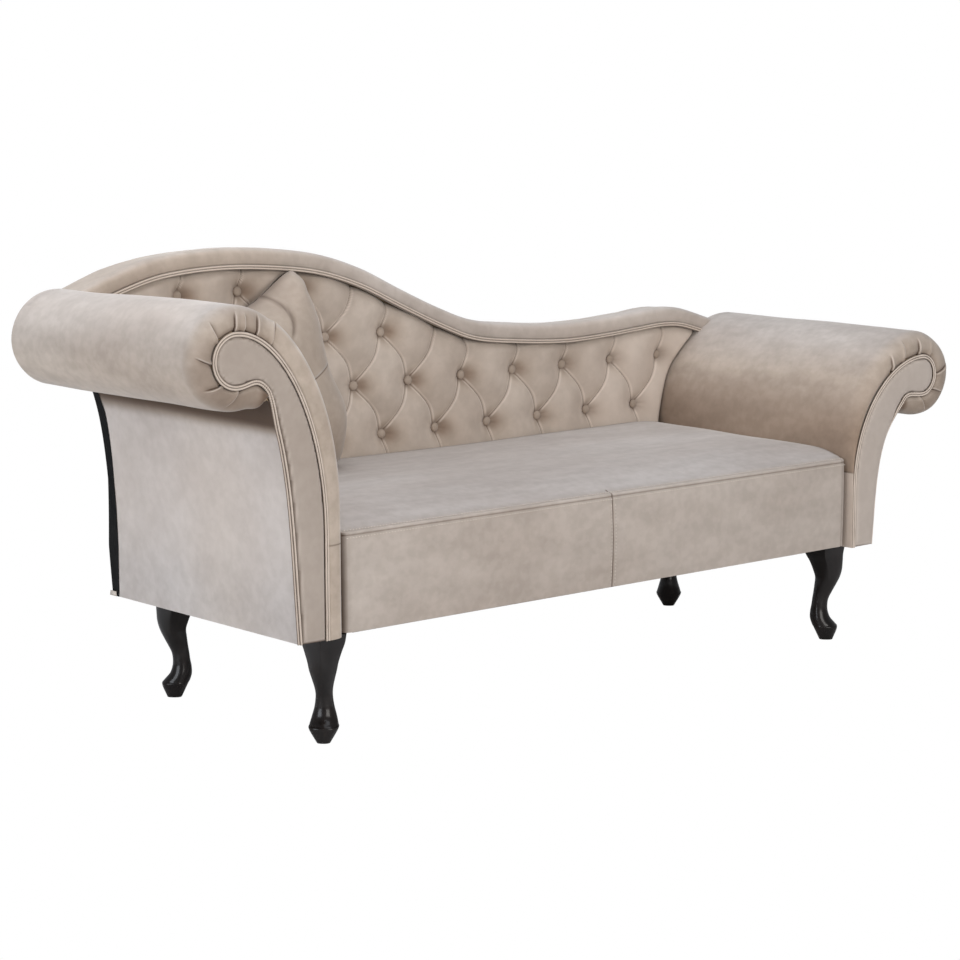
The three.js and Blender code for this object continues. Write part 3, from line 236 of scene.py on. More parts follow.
def velvet(name, stretch=(1, 1, 1), contrast=1.0):
    """Cut velvet: patches of pile over a base. Light and shade are painted into its colour by three
    attributes: one tints it from brown in shade to cool where the light falls, one mixes in a painted
    highlight, and one mixes in a painted shade."""
    material, tree, shader = new_material(name)
    patches = noise(tree, 3.2, 5.0, stretch)
    spread = 0.14 / contrast
    base = ramp(tree, patches, [(0.5 - spread, PILE), (0.5 + spread, PILE_LIGHT)])
    streaks = noise(tree, 22.0, 4.0, stretch)
    fine = ramp(tree, streaks, [(0.38, (0.90, 0.895, 0.89)), (0.62, (1.06, 1.06, 1.06))])
    cloth = mix(tree, 0.55 * contrast, base, fine, "MULTIPLY")
    crushed = ramp(tree, noise(tree, 55.0, 3.0), [(0.40, (0.93, 0.925, 0.915)), (0.60, (1.04, 1.04, 1.045))])
    cloth = mix(tree, 0.6 * contrast, cloth, crushed, "MULTIPLY")
    # Light and shade are painted into the cloth here: the first attribute tints it brown in shade and cool
    # where the light falls, the next two mix in painted highlights and painted shade.
    nap = tree.nodes.new("ShaderNodeAttribute")
    nap.attribute_name = "nap"
    shading_share = tree.nodes.new("ShaderNodeMapRange")
    shading_share.inputs["From Min"].default_value = -1
    tree.links.new(nap.outputs["Fac"], shading_share.inputs["Value"])
    cloth = mix(tree, 1.0, cloth, ramp(tree, shading_share.outputs["Result"], SHADING_TINTS), "MULTIPLY")
    for label, colour in (("rim", HIGHLIGHT_COLOUR), ("fold", SHADE_COLOUR)):
        held = tree.nodes.new("ShaderNodeAttribute")
        held.attribute_name = label
        cloth = mix(tree, held.outputs["Fac"], cloth, colour)
    tree.links.new(cloth, shader.inputs["Base Color"])
    shader.inputs["Roughness"].default_value = 0.86
    shader.inputs["Specular IOR Level"].default_value = 0.18
    shader.inputs["Sheen Weight"].default_value = 0.34
    shader.inputs["Sheen Roughness"].default_value = 0.42
    shader.inputs["Sheen Tint"].default_value = (1.0, 0.98, 0.96, 1)
    bump(tree, shader, noise(tree, 900.0, 2.0), 0.12, 0.0006)
    return material


VELVET = velvet("velvet_plain")
VELVET_SEAT = velvet("velvet_seat", (0.45, 1.6, 1), 1.15)
VELVET_ROLL = velvet("velvet_roll", (1.3, 0.6, 1.3), 1.3)
VELVET_TRIM = velvet("velvet_trim", (1, 1, 1), 0.6)


def plain(name, colour, roughness, stretch=(1, 1, 1), vary=0.12, scale=8.0, metallic=0.0):
    """A finish of one colour that varies a little over a noise."""
    material, tree, shader = new_material(name)
    grain = noise(tree, scale, 6.0, stretch)
    dark = tuple(c * (1 - vary) for c in colour)
    light = tuple(min(c * (1 + vary), 1) for c in colour)
    tree.links.new(ramp(tree, grain, [(0.35, dark), (0.65, light)]), shader.inputs["Base Color"])
    shader.inputs["Roughness"].default_value = roughness
    shader.inputs["Metallic"].default_value = metallic
    return material, tree, shader


LEG, leg_tree, leg_shader = plain("leg_stain", (0.009, 0.006, 0.005), 0.34, (1, 1, 0.2), 0.35, 30.0)
leg_shader.inputs["Specular IOR Level"].default_value = 0.22
leg_shader.inputs["Coat Weight"].default_value = 0.30
leg_shader.inputs["Coat Roughness"].default_value = 0.12
bump(leg_tree, leg_shader, noise(leg_tree, 60.0, 5.0, (1, 1, 0.15)), 0.08, 0.0008)
TIMBER = plain("pale_timber", (0.60, 0.42, 0.25), 0.7, (0.3, 4, 4), 0.2)[0]
FOAM = plain("foam", (0.80, 0.74, 0.60), 0.95, (1, 1, 1), 0.05, 60.0)[0]
WEBBING = plain("webbing", (0.05, 0.05, 0.05), 0.8, (8, 8, 1), 0.3, 40.0)[0]
STEEL = plain("zinc_steel", (0.55, 0.55, 0.54), 0.38, (1, 1, 1), 0.08, 30.0, 1.0)[0]
LINING, lining_tree, lining_shader = plain("black_lining", (0.004, 0.004, 0.004), 0.55, vary=0.4)
lining_shader.inputs["Specular IOR Level"].default_value = 0.12
bump(lining_tree, lining_shader, noise(lining_tree, 45.0, 4.0), 0.5, 0.004)
THREAD = plain("thread", (0.64, 0.57, 0.50), 0.6, (1, 1, 1), 0.05, 50.0)[0]

# A node of the frame gets the first finish that has a word of the node's name.
FINISHES = (
    (VELVET_TRIM, ("welt", "border", "facing")),
    (VELVET, ("padding", "panel", "pad", "seat_cover", "cushion")),
    (STEEL, ("plate", "bolt")),
    (LEG, ("_leg",)),
    (FOAM, ("foam",)),
    (WEBBING, ("webbing",)),
    (LINING, ("lining", "dust_cover")),
    (TIMBER, ("",)),
)
nodes = [o for o in bpy.data.objects if o.type == "MESH"]
for node in nodes:
    node.material_slots[0].material = next(
        finish for finish, words in FINISHES if any(word in node.name for word in words))
print("finished", len(nodes), "nodes of the frame")

# %% [markdown]
# Pieces are meshes over grids of points. Each surface function takes whole arrays and gives the
# points of the whole surface at once, which is quick and keeps every formula in one place.

# %% Mesh helpers


def grid_faces(rows, columns, closed_rows=False, closed_columns=False):
    """Quads between neighbouring points of a grid, wrapped round where an axis is closed."""
    r = np.arange(rows if closed_rows else rows - 1)[:, None]
    c = np.arange(columns if closed_columns else columns - 1)[None, :]
    r2, c2 = (r + 1) % rows, (c + 1) % columns
    quads = [r * columns + c, r * columns + c2, r2 * columns + c2, r2 * columns + c]
    return np.stack([q + 0 * (r + c) for q in quads], -1).reshape(-1, 4)


def add_piece(name, points, faces, material, replaced=(), slot="velvet", fold=None, nap=None, rim=None,
              turn=False):
    """Makes a mesh object from points in the couch's frame and seats it on the couch's body."""
    mesh = bpy.data.meshes.new(name)
    mesh.from_pydata(to_frame(points).tolist(), [], [list(f) for f in faces])
    mesh.validate()
    mesh.polygons.foreach_set("use_smooth", [True] * len(mesh.polygons))
    for label, values in (("fold", fold), ("nap", nap), ("rim", rim)):
        if values is not None:
            values = np.broadcast_to(np.ravel(values), len(points))
            mesh.attributes.new(label, "FLOAT", "POINT").data.foreach_set("value", values)
    if turn:
        shell = bmesh.new()
        shell.from_mesh(mesh)
        bmesh.ops.recalc_face_normals(shell, faces=shell.faces)
        shell.to_mesh(mesh)
        shell.free()
    mesh.materials.append(material)
    piece = bpy.data.objects.new(name, mesh)
    bpy.context.collection.objects.link(piece)
    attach(piece, "cushion" if name.startswith("cushion") else "couch")
    if replaced:
        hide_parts(*replaced)
    return piece


def grid_piece(name, points, material, **facts):
    """A piece from one grid of points, rows by columns."""
    rows, columns = points.shape[:2]
    return add_piece(name, points.reshape(-1, 3), grid_faces(rows, columns), material, **facts)


def tube_points(path, radius, sides, wobble=None):
    """Rings round a path: each ring is a circle that stands square to the path's direction. A wobble
    is added to its radius, point by point."""
    along = np.gradient(path, axis=0)
    along /= np.linalg.norm(along, axis=1)[:, None]
    flat = np.array([0.0, 1.0, 0.0])
    across = np.cross(along, flat)
    across /= np.linalg.norm(across, axis=1)[:, None]
    lift = np.cross(across, along)
    angle = np.linspace(0, 2 * np.pi, sides, endpoint=False)[None, :, None]
    size = radius if wobble is None else radius + wobble[:, :, None]
    ring = across[:, None, :] * np.cos(angle) + lift[:, None, :] * np.sin(angle)
    return path[:, None, :] + size * ring


# How strongly the front of a cord is painted light, as a highlight.
CORD_LIGHT = 0.45


def tube_piece(name, paths, radius, sides, material, wobbles=None, light=CORD_LIGHT, **facts):
    """Several tubes in one mesh, with their ends closed. They are painted dark, as shade, where they turn
    away from the front, and painted light, as a highlight, where they face it."""
    points, faces, folds, cord_highlights, start = [], [], [], [], 0
    for path, wobble in zip(paths, wobbles or [None] * len(paths)):
        rings = tube_points(path, radius, sides, wobble)
        facing = (path[:, None, 1] - rings[..., 1]) / radius
        folds.append(smooth_share((0.75 - facing) / 0.45).ravel())
        cord_highlights.append(light * smooth_share((facing - 0.78) / 0.2).ravel())
        quads = grid_faces(len(path), sides, closed_columns=True) + start
        faces += [list(q) for q in quads]
        faces += [list(range(start, start + sides))[::-1]]
        last = start + sides * (len(path) - 1)
        faces += [list(range(last, last + sides))]
        points.append(rings.reshape(-1, 3))
        start += rings.size // 3
    return add_piece(name, np.concatenate(points), faces, material, fold=np.concatenate(folds),
                     rim=np.concatenate(cord_highlights), **facts)


def polyline_distance(points, line):
    """Distance from every point to the nearest segment of a line, in the plane."""
    best = np.full(len(points), 1e9)
    for a, b in zip(line[:-1], line[1:]):
        d = b - a
        t = np.clip(((points - a) @ d) / max(d @ d, 1e-9), 0, 1)
        best = np.minimum(best, np.linalg.norm(points - a - t[:, None] * d, axis=1))
    return best


def smooth_share(value):
    """A share from nought to one that leaves and arrives level."""
    t = np.clip(value, 0, 1)
    return t * t * (3 - 2 * t)


def bell(value, centre, width):
    """One at the centre, falling smoothly to about a third a width away on either side."""
    return np.exp(-(((value - centre) / width) ** 2))


def fading(value, length):
    """One up to nought, then falling to about a third at the length."""
    return np.exp(-np.clip(value, 0, None) / length)


def curve_through(rows, t, k, slope, span=1.0):
    """Cubic curves through given rows: the share t of the way from row k to the next, with a slope
    at each row and the span between them."""
    return ((2 * t**3 - 3 * t**2 + 1) * rows[k] + (t**3 - 2 * t**2 + t) * span * slope[k]
            + (3 * t**2 - 2 * t**3) * rows[k + 1] + (t**3 - t**2) * span * slope[k + 1])


def ripple(u, v, seed, cycles):
    """A smooth random field from a few waves with random directions and phases, about one high."""
    chance = np.random.default_rng(seed)
    total = np.zeros(np.broadcast(u, v).shape)
    for _ in range(7):
        angle, phase = chance.uniform(0, 2 * np.pi, 2)
        rate = cycles * chance.uniform(0.5, 1.5)
        total += np.sin(rate * (np.cos(angle) * u + np.sin(angle) * v) + phase)
    return total / 3.5


print("a bell at one width:", round(float(bell(1.0, 0.0, 1.0)), 3))

# %% [markdown]
# An arm is a board cut to a scroll, wrapped in foam and velvet. Its outline rises from the foot,
# sweeps outward, goes round the roll and tucks into the throat under it. The outline is made from
# the same curves as the frame's solids, and not drawn by hand, so that the looks sit on the solids.
# Only the hook at the throat is flatter here, as in the photograph. A place on an arm is how far out
# it lies from the seat's end, and how high.

# %% Outlines of the arms
LEFT = dict(side=-1, name="left_arm", pad=37.5, face=65.5, slope=440, board_slope=400, roll=(230, 731),
            radius=95, scroll=(235, 730), scroll_radius=52, hook=(0.80, 0.60), foot_in=0, lean=15)
RIGHT = dict(side=1, name="right_arm", pad=3, face=70, slope=400, board_slope=335, roll=(224, 563),
             radius=92, scroll=(218, 560), scroll_radius=46, hook=(1.0, 0.80), foot_in=1.5, lean=11)
SLOPE_SHARES = (0.6, 0.48)
THROAT_SHARES = np.array([1.25, 1.2])
SCROLL_SHARE = 12 / 17
WAIST_SHARES = (0.26, 0.47)


def bezier(p0, p1, p2, p3, t):
    """Points of a cubic curve at the given shares."""
    t = np.asarray(t, dtype=float)[:, None]
    p0, p1, p2, p3 = (np.asarray(p, dtype=float) for p in (p0, p1, p2, p3))
    return (1 - t) ** 3 * p0 + 3 * (1 - t) ** 2 * t * p1 + 3 * (1 - t) * t**2 * p2 + t**3 * p3


def slope_curve(out0, z0, out1, z1, t):
    """From an upright face up and out to the top of a roll."""
    rise, reach = (z1 - z0) * SLOPE_SHARES[0], (out1 - out0) * SLOPE_SHARES[1]
    return bezier((out0, z0), (out0, z0 + rise), (out1 - reach, z1), (out1, z1), t)


def arc(centre, radius, angle):
    """Points on a circle, by the angle swept from the top outward."""
    return np.stack([centre[0] + radius * np.sin(angle), centre[1] + radius * np.cos(angle)], -1)


def throat(arm):
    """Where the board's line ends, in the hollow under the scroll."""
    return np.array(arm["scroll"]) - THROAT_SHARES * arm["scroll_radius"]


def arm_lines(arm, t):
    """The board's line and the cover's line at places t: nought to one is the upright face, one to
    two is the slope, and two to three goes round the roll into the throat. The board goes round the
    scroll, and from its bottom along a hook."""
    t = np.asarray(t, dtype=float)
    up, slope, turn = np.clip(t, 0, 1), np.clip(t - 1, 0, 1), np.clip(t - 2, 0, 1)
    scroll, small = np.array(arm["scroll"]), arm["scroll_radius"]
    roll, large = arm["roll"], arm["radius"]
    end, bottom = throat(arm), scroll - np.array([0, small])
    board_up = np.stack([np.full_like(t, arm["pad"]), UNDERSIDE + up * (arm["board_slope"] - UNDERSIDE)], -1)
    board_slope = slope_curve(arm["pad"], arm["board_slope"], scroll[0], scroll[1] + small, slope)
    board_arc = arc(scroll, small, np.pi * np.clip(turn / SCROLL_SHARE, 0, 1))
    board_hook = bezier(bottom, bottom - np.array([0.6 * small, 0]), scroll - small * np.array(arm["hook"]),
                        end, np.clip((turn - SCROLL_SHARE) / (1 - SCROLL_SHARE), 0, 1))
    cover_up = np.stack([np.zeros_like(t), UNDERSIDE + up * (arm["slope"] - UNDERSIDE)], -1)
    cover_slope = slope_curve(0, arm["slope"], roll[0], roll[1] + large, slope)
    sweep = np.pi / 2 - math.atan2(end[1] - roll[1], end[0] - roll[0])
    cover_arc = arc(roll, large, sweep * turn)
    place = t[:, None]
    board = np.where(place < 1, board_up, np.where(place < 2, board_slope,
                     np.where(place < 2 + SCROLL_SHARE, board_arc, board_hook)))
    return board, np.where(place < 1, cover_up, np.where(place < 2, cover_slope, cover_arc))


def outer_line(arm, count):
    """The outer side of an arm, from the throat down to its foot."""
    start, foot = throat(arm), arm["pad"] + arm["face"] - arm["foot_in"]
    height, waist = start[1] - UNDERSIDE, foot + arm["lean"]
    high, low = start[1] - WAIST_SHARES[0] * height, UNDERSIDE + WAIST_SHARES[1] * height
    return bezier(start, (waist, high), (waist, low), (foot, UNDERSIDE), np.linspace(0, 1, count))


def lengths_along(line):
    """How far along a line each of its points lies."""
    return np.concatenate([[0], np.cumsum(np.linalg.norm(np.diff(line, axis=0), axis=1))])


def shifted(line, distance):
    """A line moved sideways; a positive distance is to the left of its direction."""
    along = np.gradient(line, axis=0)
    along /= np.linalg.norm(along, axis=1)[:, None]
    return line + distance * np.stack([-along[:, 1], along[:, 0]], -1)


def arm_space(arm, line, y):
    """Outline points and their depths as points in the couch's frame."""
    x = arm["side"] * (HALF_SEAT + line[..., 0])
    return np.stack([x, np.broadcast_to(y, x.shape), line[..., 1]], -1)


def slope_out(arm, z):
    """How far out the cover of an arm lies at a height."""
    t = np.linspace(0, 2, 400)
    line = arm_lines(arm, t)[1]
    return np.interp(z, line[:, 1], line[:, 0])


print("roll tops", [arm["roll"][1] + arm["radius"] for arm in (LEFT, RIGHT)])

# %% [markdown]
# The cover of an arm is one length of velvet, laid over the slope and the roll. At the front it
# turns over the edge and is gathered in to the double cord, so it lies in sharp pleats round the
# scroll. The pleats could be cut as seams, but they are folds, so the cloth runs in and out again.

# %% Covers of the arms
SLEEVE = 17.0
FRONT_ROUND, STRIP_ROUND, REAR_ROUND = 34.0, 11.0, 9.0
TAIL_ROWS = 8
PLEAT_DROP, PLEAT_RISE = 4.2, 2.4
SEAM_PLEAT_LENGTH = 66
TUCK_IN, TUCK_DOWN = 12, 6
REAR_SINK, REAR_LONGER, STRIP_BACK = 10, 8, 4.5
SIDE_FULL, SHOULDER_FLAT = 5.5, 4.5
# The dark, front_dark, under_dark and wall_dark amounts paint shade into a cover, wall_brown paints its wall
# over the seat brown as shade, and lit and strip_lit paint light on its top and on the low arm's strip.
LEFT.update(
    pleats=[(154, 755), (189, 776), (215, 781), (238, 783), (272, 767), (290, 727), (269, 689),
            (230, 677)],
    seam=380.0, seam_rows=(0.17, 60), tail_drop=16, under_at=2.70, under_lift=6,
    dark=0.0, wall_dark=0.0, front_dark=0.24, under_dark=0.12, wall_brown=-1.0, lit=0.16, strip_lit=0.0)
RIGHT.update(
    pleats=[(121, 575), (159, 599), (205, 608), (240, 594), (261, 559), (256, 524), (215, 512)],
    seam=368.0, seam_rows=(0.30, 100), tail_drop=4, under_at=2.62, under_lift=-5,
    dark=0.04, wall_dark=0.04, front_dark=0.08, under_dark=0.04, wall_brown=-0.8, lit=0.032, strip_lit=0.45)


def pleat_places(arm):
    """The place along the board's line nearest to each pleat's foot."""
    t = np.linspace(1, 3, 1500)
    board = arm_lines(arm, t)[0]
    return [t[np.argmin(np.hypot(*(board - np.array(foot)).T))] for foot in arm["pleats"]]


def arm_places(arm, pleats):
    """Places along an arm's outline, close together beside every pleat and above the strip's seam."""
    even = np.concatenate([np.linspace(0, 1, 50, endpoint=False), np.linspace(1, 2, 130, endpoint=False),
                           np.linspace(2, 3, 210)])
    near = [p + np.linspace(-0.02, 0.02, 21) for p in pleats]
    reach, count = arm["seam_rows"]
    seam = (arm["seam"] - UNDERSIDE) / (arm["slope"] - UNDERSIDE)
    near.append(seam + np.linspace(-0.01, reach, count))
    places = np.sort(np.concatenate([even, *near]))
    places = places[(places >= 0) & (places <= 3)]
    return places[np.concatenate([[True], np.diff(places) > 0.0008])]


def cover_sheet(arm, pleats):
    """The places, lines, depths and shares of a cover before its pleats. Across the depth it starts
    behind the cord, bulges over the front edge as a rounded quarter, runs straight back and closes
    over the rear edge. The high arm's strip, below its first pleat, turns over a sharper edge."""
    t = arm_places(arm, pleats)
    board, cover = arm_lines(arm, t)
    tail = np.linspace(0, 1, TAIL_ROWS + 1)[1:, None]
    cover = np.concatenate([cover, cover[-1] + tail * (board[-1] - cover[-1])])
    board = np.concatenate([board, np.repeat(board[-1:], TAIL_ROWS, axis=0)])
    t = np.concatenate([t, t[-1] + tail[:, 0] * 0.01])[:, None]
    turn = np.linspace(0, np.pi / 2, 34)
    wide = np.sin(turn) ** (2 / 2.3)
    deep = 1 - np.cos(turn) ** (2 / 2.3)
    strip = smooth_share((pleats[0] - t) / 0.03 + 0.5) if arm is LEFT else 0 * t
    round_off = FRONT_ROUND + (STRIP_ROUND - FRONT_ROUND) * strip
    front = -4.0 * smooth_share(wide / 0.22)[None, :] + (round_off + 4.0) * deep[None, :]
    middle = np.linspace(0, 1, 42)[None, :] * (ARM_DEPTH - REAR_ROUND - round_off - 3) + round_off + 3
    rear = (ARM_DEPTH - REAR_ROUND * deep[::-1])[None, 1:] + 0 * t
    tuck = np.array([[8.0, 4.0]]) + 0 * t
    depth = np.concatenate([tuck, front, middle, rear], axis=1)
    share = np.concatenate([[-0.07, -0.03], wide, np.ones(42), wide[::-1][1:]])[None, :]
    return t, board, cover, depth, share, strip


def pleat_marks(arm, pleats, t, run, reach, depth):
    """How deep the pleats dent the cloth, and where their painted dark lines and painted lit edges are. A
    pleat is a step: high on one side, low on the other, and levelling out away from both. It fades as it
    leaves the cord. On the high arm the first is a seam, straight and longer."""
    dent, line, glint = (np.zeros(depth.shape) for _ in range(3))
    chance = np.random.default_rng(3)
    for k, place in enumerate(pleats):
        long, lean = chance.uniform(40, 52), chance.uniform(-0.14, 0.14)
        if arm is LEFT and k == 0:
            long, lean = SEAM_PLEAT_LENGTH, 0
        at = np.interp(place, t[:, 0], run)
        off = run[:, None] - at - lean * reach[None, :] - 1.5 * np.sin(reach / 14)[None, :]
        off = off * (1 if k % 2 else -1)
        fade = smooth_share((long - reach) / (0.45 * long))[None, :] * (depth < 200)
        low_side = PLEAT_DROP * fading(off, 5.5) * smooth_share(off / 1.2 + 0.5)
        dent += fade * (low_side - PLEAT_RISE * bell(off, -4.5, 4.5))
        line = np.maximum(line, fade * bell(off, 0.4, 1.0))
        glint = np.maximum(glint, fade * bell(off, -1.9, 1.2))
    return dent, line, glint


def outward_normals(points):
    """Directions square to the sheet, away from the arm, shrinking to nothing along its tail."""
    normal = np.cross(np.gradient(points, axis=0), np.gradient(points, axis=1))
    normal /= np.linalg.norm(normal, axis=2)[..., None] + 1e-9
    middle = points[:, 60] - points[:, 60].mean(0)
    if np.sign(np.sum(normal[:, 60] * middle, -1)).mean() < 0:
        normal = -normal
    normal[-TAIL_ROWS - 1:] *= np.linspace(1, 0, TAIL_ROWS + 1)[:, None, None]
    return normal


def settled(arm, points, normal, t, depth, share, strip):
    """The cloth's own moves. It hangs full where it goes into the throat, and its end is tucked in.
    The high roll sinks and lengthens towards the rear, and the strip's front edge stands back from
    the seat. The low roll is flat on its shoulder and full on its outer side, and its slope swells
    over the seat."""
    held = share.clip(0, 1)
    front_share = fading(depth, 60) * held
    tail_full = bell(t, 2.955, 0.05) * front_share
    under = bell(t, arm["under_at"], 0.11) * front_share
    points[..., 2] += arm["under_lift"] * under - arm["tail_drop"] * tail_full
    tucked = smooth_share((t - 3) / 0.01) * smooth_share((depth - 4) / 8)
    points[..., 0] -= arm["side"] * TUCK_IN * tucked
    points[..., 2] -= TUCK_DOWN * tucked
    if arm is LEFT:
        rear_share = smooth_share((depth - 150) / 440) * smooth_share((t - 1.4) / 0.4)
        points[..., 2] -= REAR_SINK * rear_share * (1 - 0.85 * smooth_share((t - 2.25) / 0.35))
        points[..., 1] += REAR_LONGER * smooth_share((t - 1.9) / 0.4) * smooth_share((depth - 400) / 190)
        points[..., 0] -= STRIP_BACK * fading(depth, 22) * (share > 0) * strip
        return points
    full = SIDE_FULL * bell(t, 2.42, 0.22) - SHOULDER_FLAT * bell(t, 2.14, 0.13)
    points = points + normal * (full * fading(depth, 110) * held)[..., None]
    over_seat = smooth_share((t - 0.8) / 0.4) * smooth_share((2.5 - t) / 0.6)
    points[..., 0] -= SLEEVE * smooth_share(depth / 500) * over_seat
    return points


def cover_shades(arm, height, lift, t, depth, share, strip, marks):
    """Painted shade and light of a cover. It is painted dark, as shade, in its pleats, seam and edges, under
    the roll, against the back and in the throat, painted browner down the wall over the seat where shade
    falls, and painted light on the pleats' edges and on top where the light falls."""
    dent, line, glint = marks
    below_seam = height < arm["seam"]
    seam = bell(height, arm["seam"], 1.1) * (depth < 30) * (t < 1.3)
    edge = np.clip(1 - share / 0.10, 0, 1) ** 2
    against_back = bell(depth, 566, 5) * (t < 2.2)
    inner = smooth_share((1.75 - t) / 0.5)
    fold = 0.65 * line + 0.8 * edge + 0.8 * seam + 0.25 * np.clip(dent / 4, 0, 1) + 0.6 * against_back
    fold = fold + arm["front_dark"] * (1 - smooth_share(depth / 45)) * smooth_share((t - 1.6) / 0.3)
    fold = fold + arm["dark"] + arm["wall_dark"] * inner * (height > arm["seam"]) * (depth > 0)
    fold = fold + arm["under_dark"] * smooth_share((t - 2.1) / 0.3) + 0.25 * smooth_share((t - 2.9) / 0.08)
    brown = arm["wall_brown"] + 0.8 * smooth_share((height - 430) / 190)
    nap = (0.2 + 0.45 * lift) * (1 - inner) + brown * inner
    nap = nap - 0.4 * (1 - smooth_share(depth / 40)) * (1 - inner) - 0.9 * smooth_share((t - 2.9) / 0.1)
    if arm is LEFT:
        nap = np.where((depth < 13) & (strip > 0.5), -0.2, nap)
    else:
        nap = np.where(below_seam & (depth < 40), -0.55, nap)
    nap = nap + 0.4 * glint + 0.9 * bell(depth, 5, 2.5) * (share > 0.8) * strip
    lit = arm["lit"] * smooth_share((lift - 0.3) / 0.5) * (t > 1.4) * smooth_share((depth - 30) / 60)
    lit = lit + arm["strip_lit"] * (depth < 40) * below_seam
    return dict(fold=np.clip(fold, 0, 1), nap=np.clip(nap, -1, 1), rim=np.clip(0.55 * glint + lit, 0, 1))


def arm_cover(arm):
    """The cover's sheet, dented by its pleats, swelling a little all over, and settled."""
    pleats = pleat_places(arm)
    t, board, cover, depth, share, strip = cover_sheet(arm, pleats)
    flat = board[:, None, :] * (1 - share[..., None]) + cover[:, None, :] * share[..., None]
    points = arm_space(arm, flat, depth)
    run = lengths_along(0.5 * (board + cover))
    reach = np.cumsum(np.concatenate([[0], np.hypot(np.diff(share[0]) * 44, np.diff(depth[-20]))])) - 5
    marks = pleat_marks(arm, pleats, t, run, reach, depth)
    swell = ripple(run[:, None] / 100, depth / 100, 11, 2.2) * 0.9 * smooth_share((depth - 20) / 60)
    normal = outward_normals(points)
    points = points + normal * (swell - marks[0])[..., None]
    points = settled(arm, points, normal, t, depth, share, strip)
    return points, cover_shades(arm, points[..., 2], normal[..., 2], t, depth, share, strip, marks)


for arm in (LEFT, RIGHT):
    points, shades = arm_cover(arm)
    cover = grid_piece(arm["name"] + "_cover", points, VELVET_ROLL, replaced=(arm["name"] + "_padding",),
                       **shades)
    print(cover.name, points.shape, "top", round(points[..., 2].max(), 1))

# %% [markdown]
# The outer side of an arm is a thin board with velvet drawn over it. The cloth is pulled tight
# from under the roll to the foot, so it has only faint upright puckers below the roll. A flat sheet
# would do from afar, but the slow hollow and the turned edge are what make it read as cloth.

# %% Outer sides of the arms
# By height, where the lining on the high arm's end starts and ends, and how round its edge is.
LINING_HEIGHTS = np.array([206, 213, 307, 375, 440, 506, 574, 613, 668])
LINING_FRONTS = np.array([587, 587, 577, 573, 572, 569, 566, 573, 580])
LINING_REARS = np.array([607, 607, 607, 600, 594, 594, 594, 594, 594])
LINING_ROUNDS = np.array([0, 0, 0, 1, 3, 4, 5, 5, 5])
SIDE_START, SIDE_ROUND, SIDE_INSET = 3.0, 6, 1.5
SIDE_ROWS = 90


def side_surface(arm):
    """From under the roll down to the foot, and from the front edge, which turns in a little, back to the
    lining. It is painted dark and brown as the roll's shadow, painted cool and light below, and painted
    lighter in a band below that, clear of the foot."""
    line = outer_line(arm, SIDE_ROWS)
    rear = np.interp(line[:, 1], LINING_HEIGHTS, LINING_FRONTS) if arm is LEFT else ARM_DEPTH - 1
    depth = np.concatenate([SIDE_START + SIDE_ROUND * (1 - np.cos(np.linspace(0, np.pi / 2, 8))),
                            np.linspace(12, ARM_DEPTH - 1, 120)])
    depth = np.minimum(depth[None, :], np.reshape(rear, (-1, 1)) + 0 * depth[None, :])
    turn = 1 - np.clip((depth - SIDE_START) / SIDE_ROUND, 0, 1)
    inset = SIDE_INSET * (1 - np.sqrt(1 - turn**2))
    grid = np.repeat(line[:, None, :], depth.shape[1], axis=1)
    down = np.linspace(0, 1, SIDE_ROWS)[:, None]
    pucker = ripple(depth / 14, down, 5, 1.0) * np.exp(-down / 0.10) * 1.4
    grid[..., 0] += -inset + pucker + 2.0 * np.sin(np.pi * down) * np.sin(np.pi * depth / ARM_DEPTH)
    height = line[:, 1:2]
    below = height[0] - height
    shade = (1 - smooth_share((below - 51) / 38)) * (0.8 + 0.2 * np.exp(-depth / 250))
    streak = ripple(depth / 60, below / 300, 6, 1.0) * 0.12
    rim = 0.22 * (1 - shade) * smooth_share(below / 200) * smooth_share((height - 240) / 150)
    return arm_space(arm, grid, depth), dict(nap=0.75 - 1.75 * shade + streak,
                                             fold=np.clip(1.2 * shade, 0, 1), rim=rim)


for arm in (LEFT, RIGHT):
    points, shades = side_surface(arm)
    side = grid_piece(arm["name"] + "_outside", points, VELVET, replaced=(arm["name"] + "_outer_panel",),
                      **shades)
    print(side.name, points.shape)

# %% [markdown]
# The facing is a flat board shaped like the scroll, padded and covered, then pinned to the arm.
# It fills the double cord and swells a little in the middle. Its outline is filled with a mesh of
# small triangles, because the shape is too bent for one grid.

# %% Facings
# Each facing is painted over with a tone of light and shade of its own: darker as shade, tinted, and lighter
# as a highlight.
LEFT.update(face_inset=4.2, face_dark=0.22, face_nap=0.3, face_rim=0.0, face_side=1.0)
RIGHT.update(face_inset=1.5, face_dark=0.05, face_nap=0.45, face_rim=0.12, face_side=0.25)
FACE_INSET, FACE_PITCH = 7.6, 5.0
FACE_SINK, FACE_SWELL = 2.0, 6.6


def facing_outline(arm, inset, outer_inset):
    """Up the inner side, round the scroll, into the throat and down the outer side, where the edge
    lies at an inset of its own."""
    t = np.concatenate([np.linspace(0, 1, 26, endpoint=False), np.linspace(1, 2, 60, endpoint=False),
                        np.linspace(2, 3, 110)])
    inner = shifted(arm_lines(arm, t)[0], -inset)
    share = smooth_share(np.linspace(0, 5, 70))[:, None]
    side = outer_line(arm, 70)
    outer = shifted(side, -inset) * (1 - share) + shifted(side, -outer_inset) * share
    gap = np.linalg.norm(outer - inner[-1], axis=1)
    return np.concatenate([inner, outer[max(int(np.argmin(gap)), 1):]])


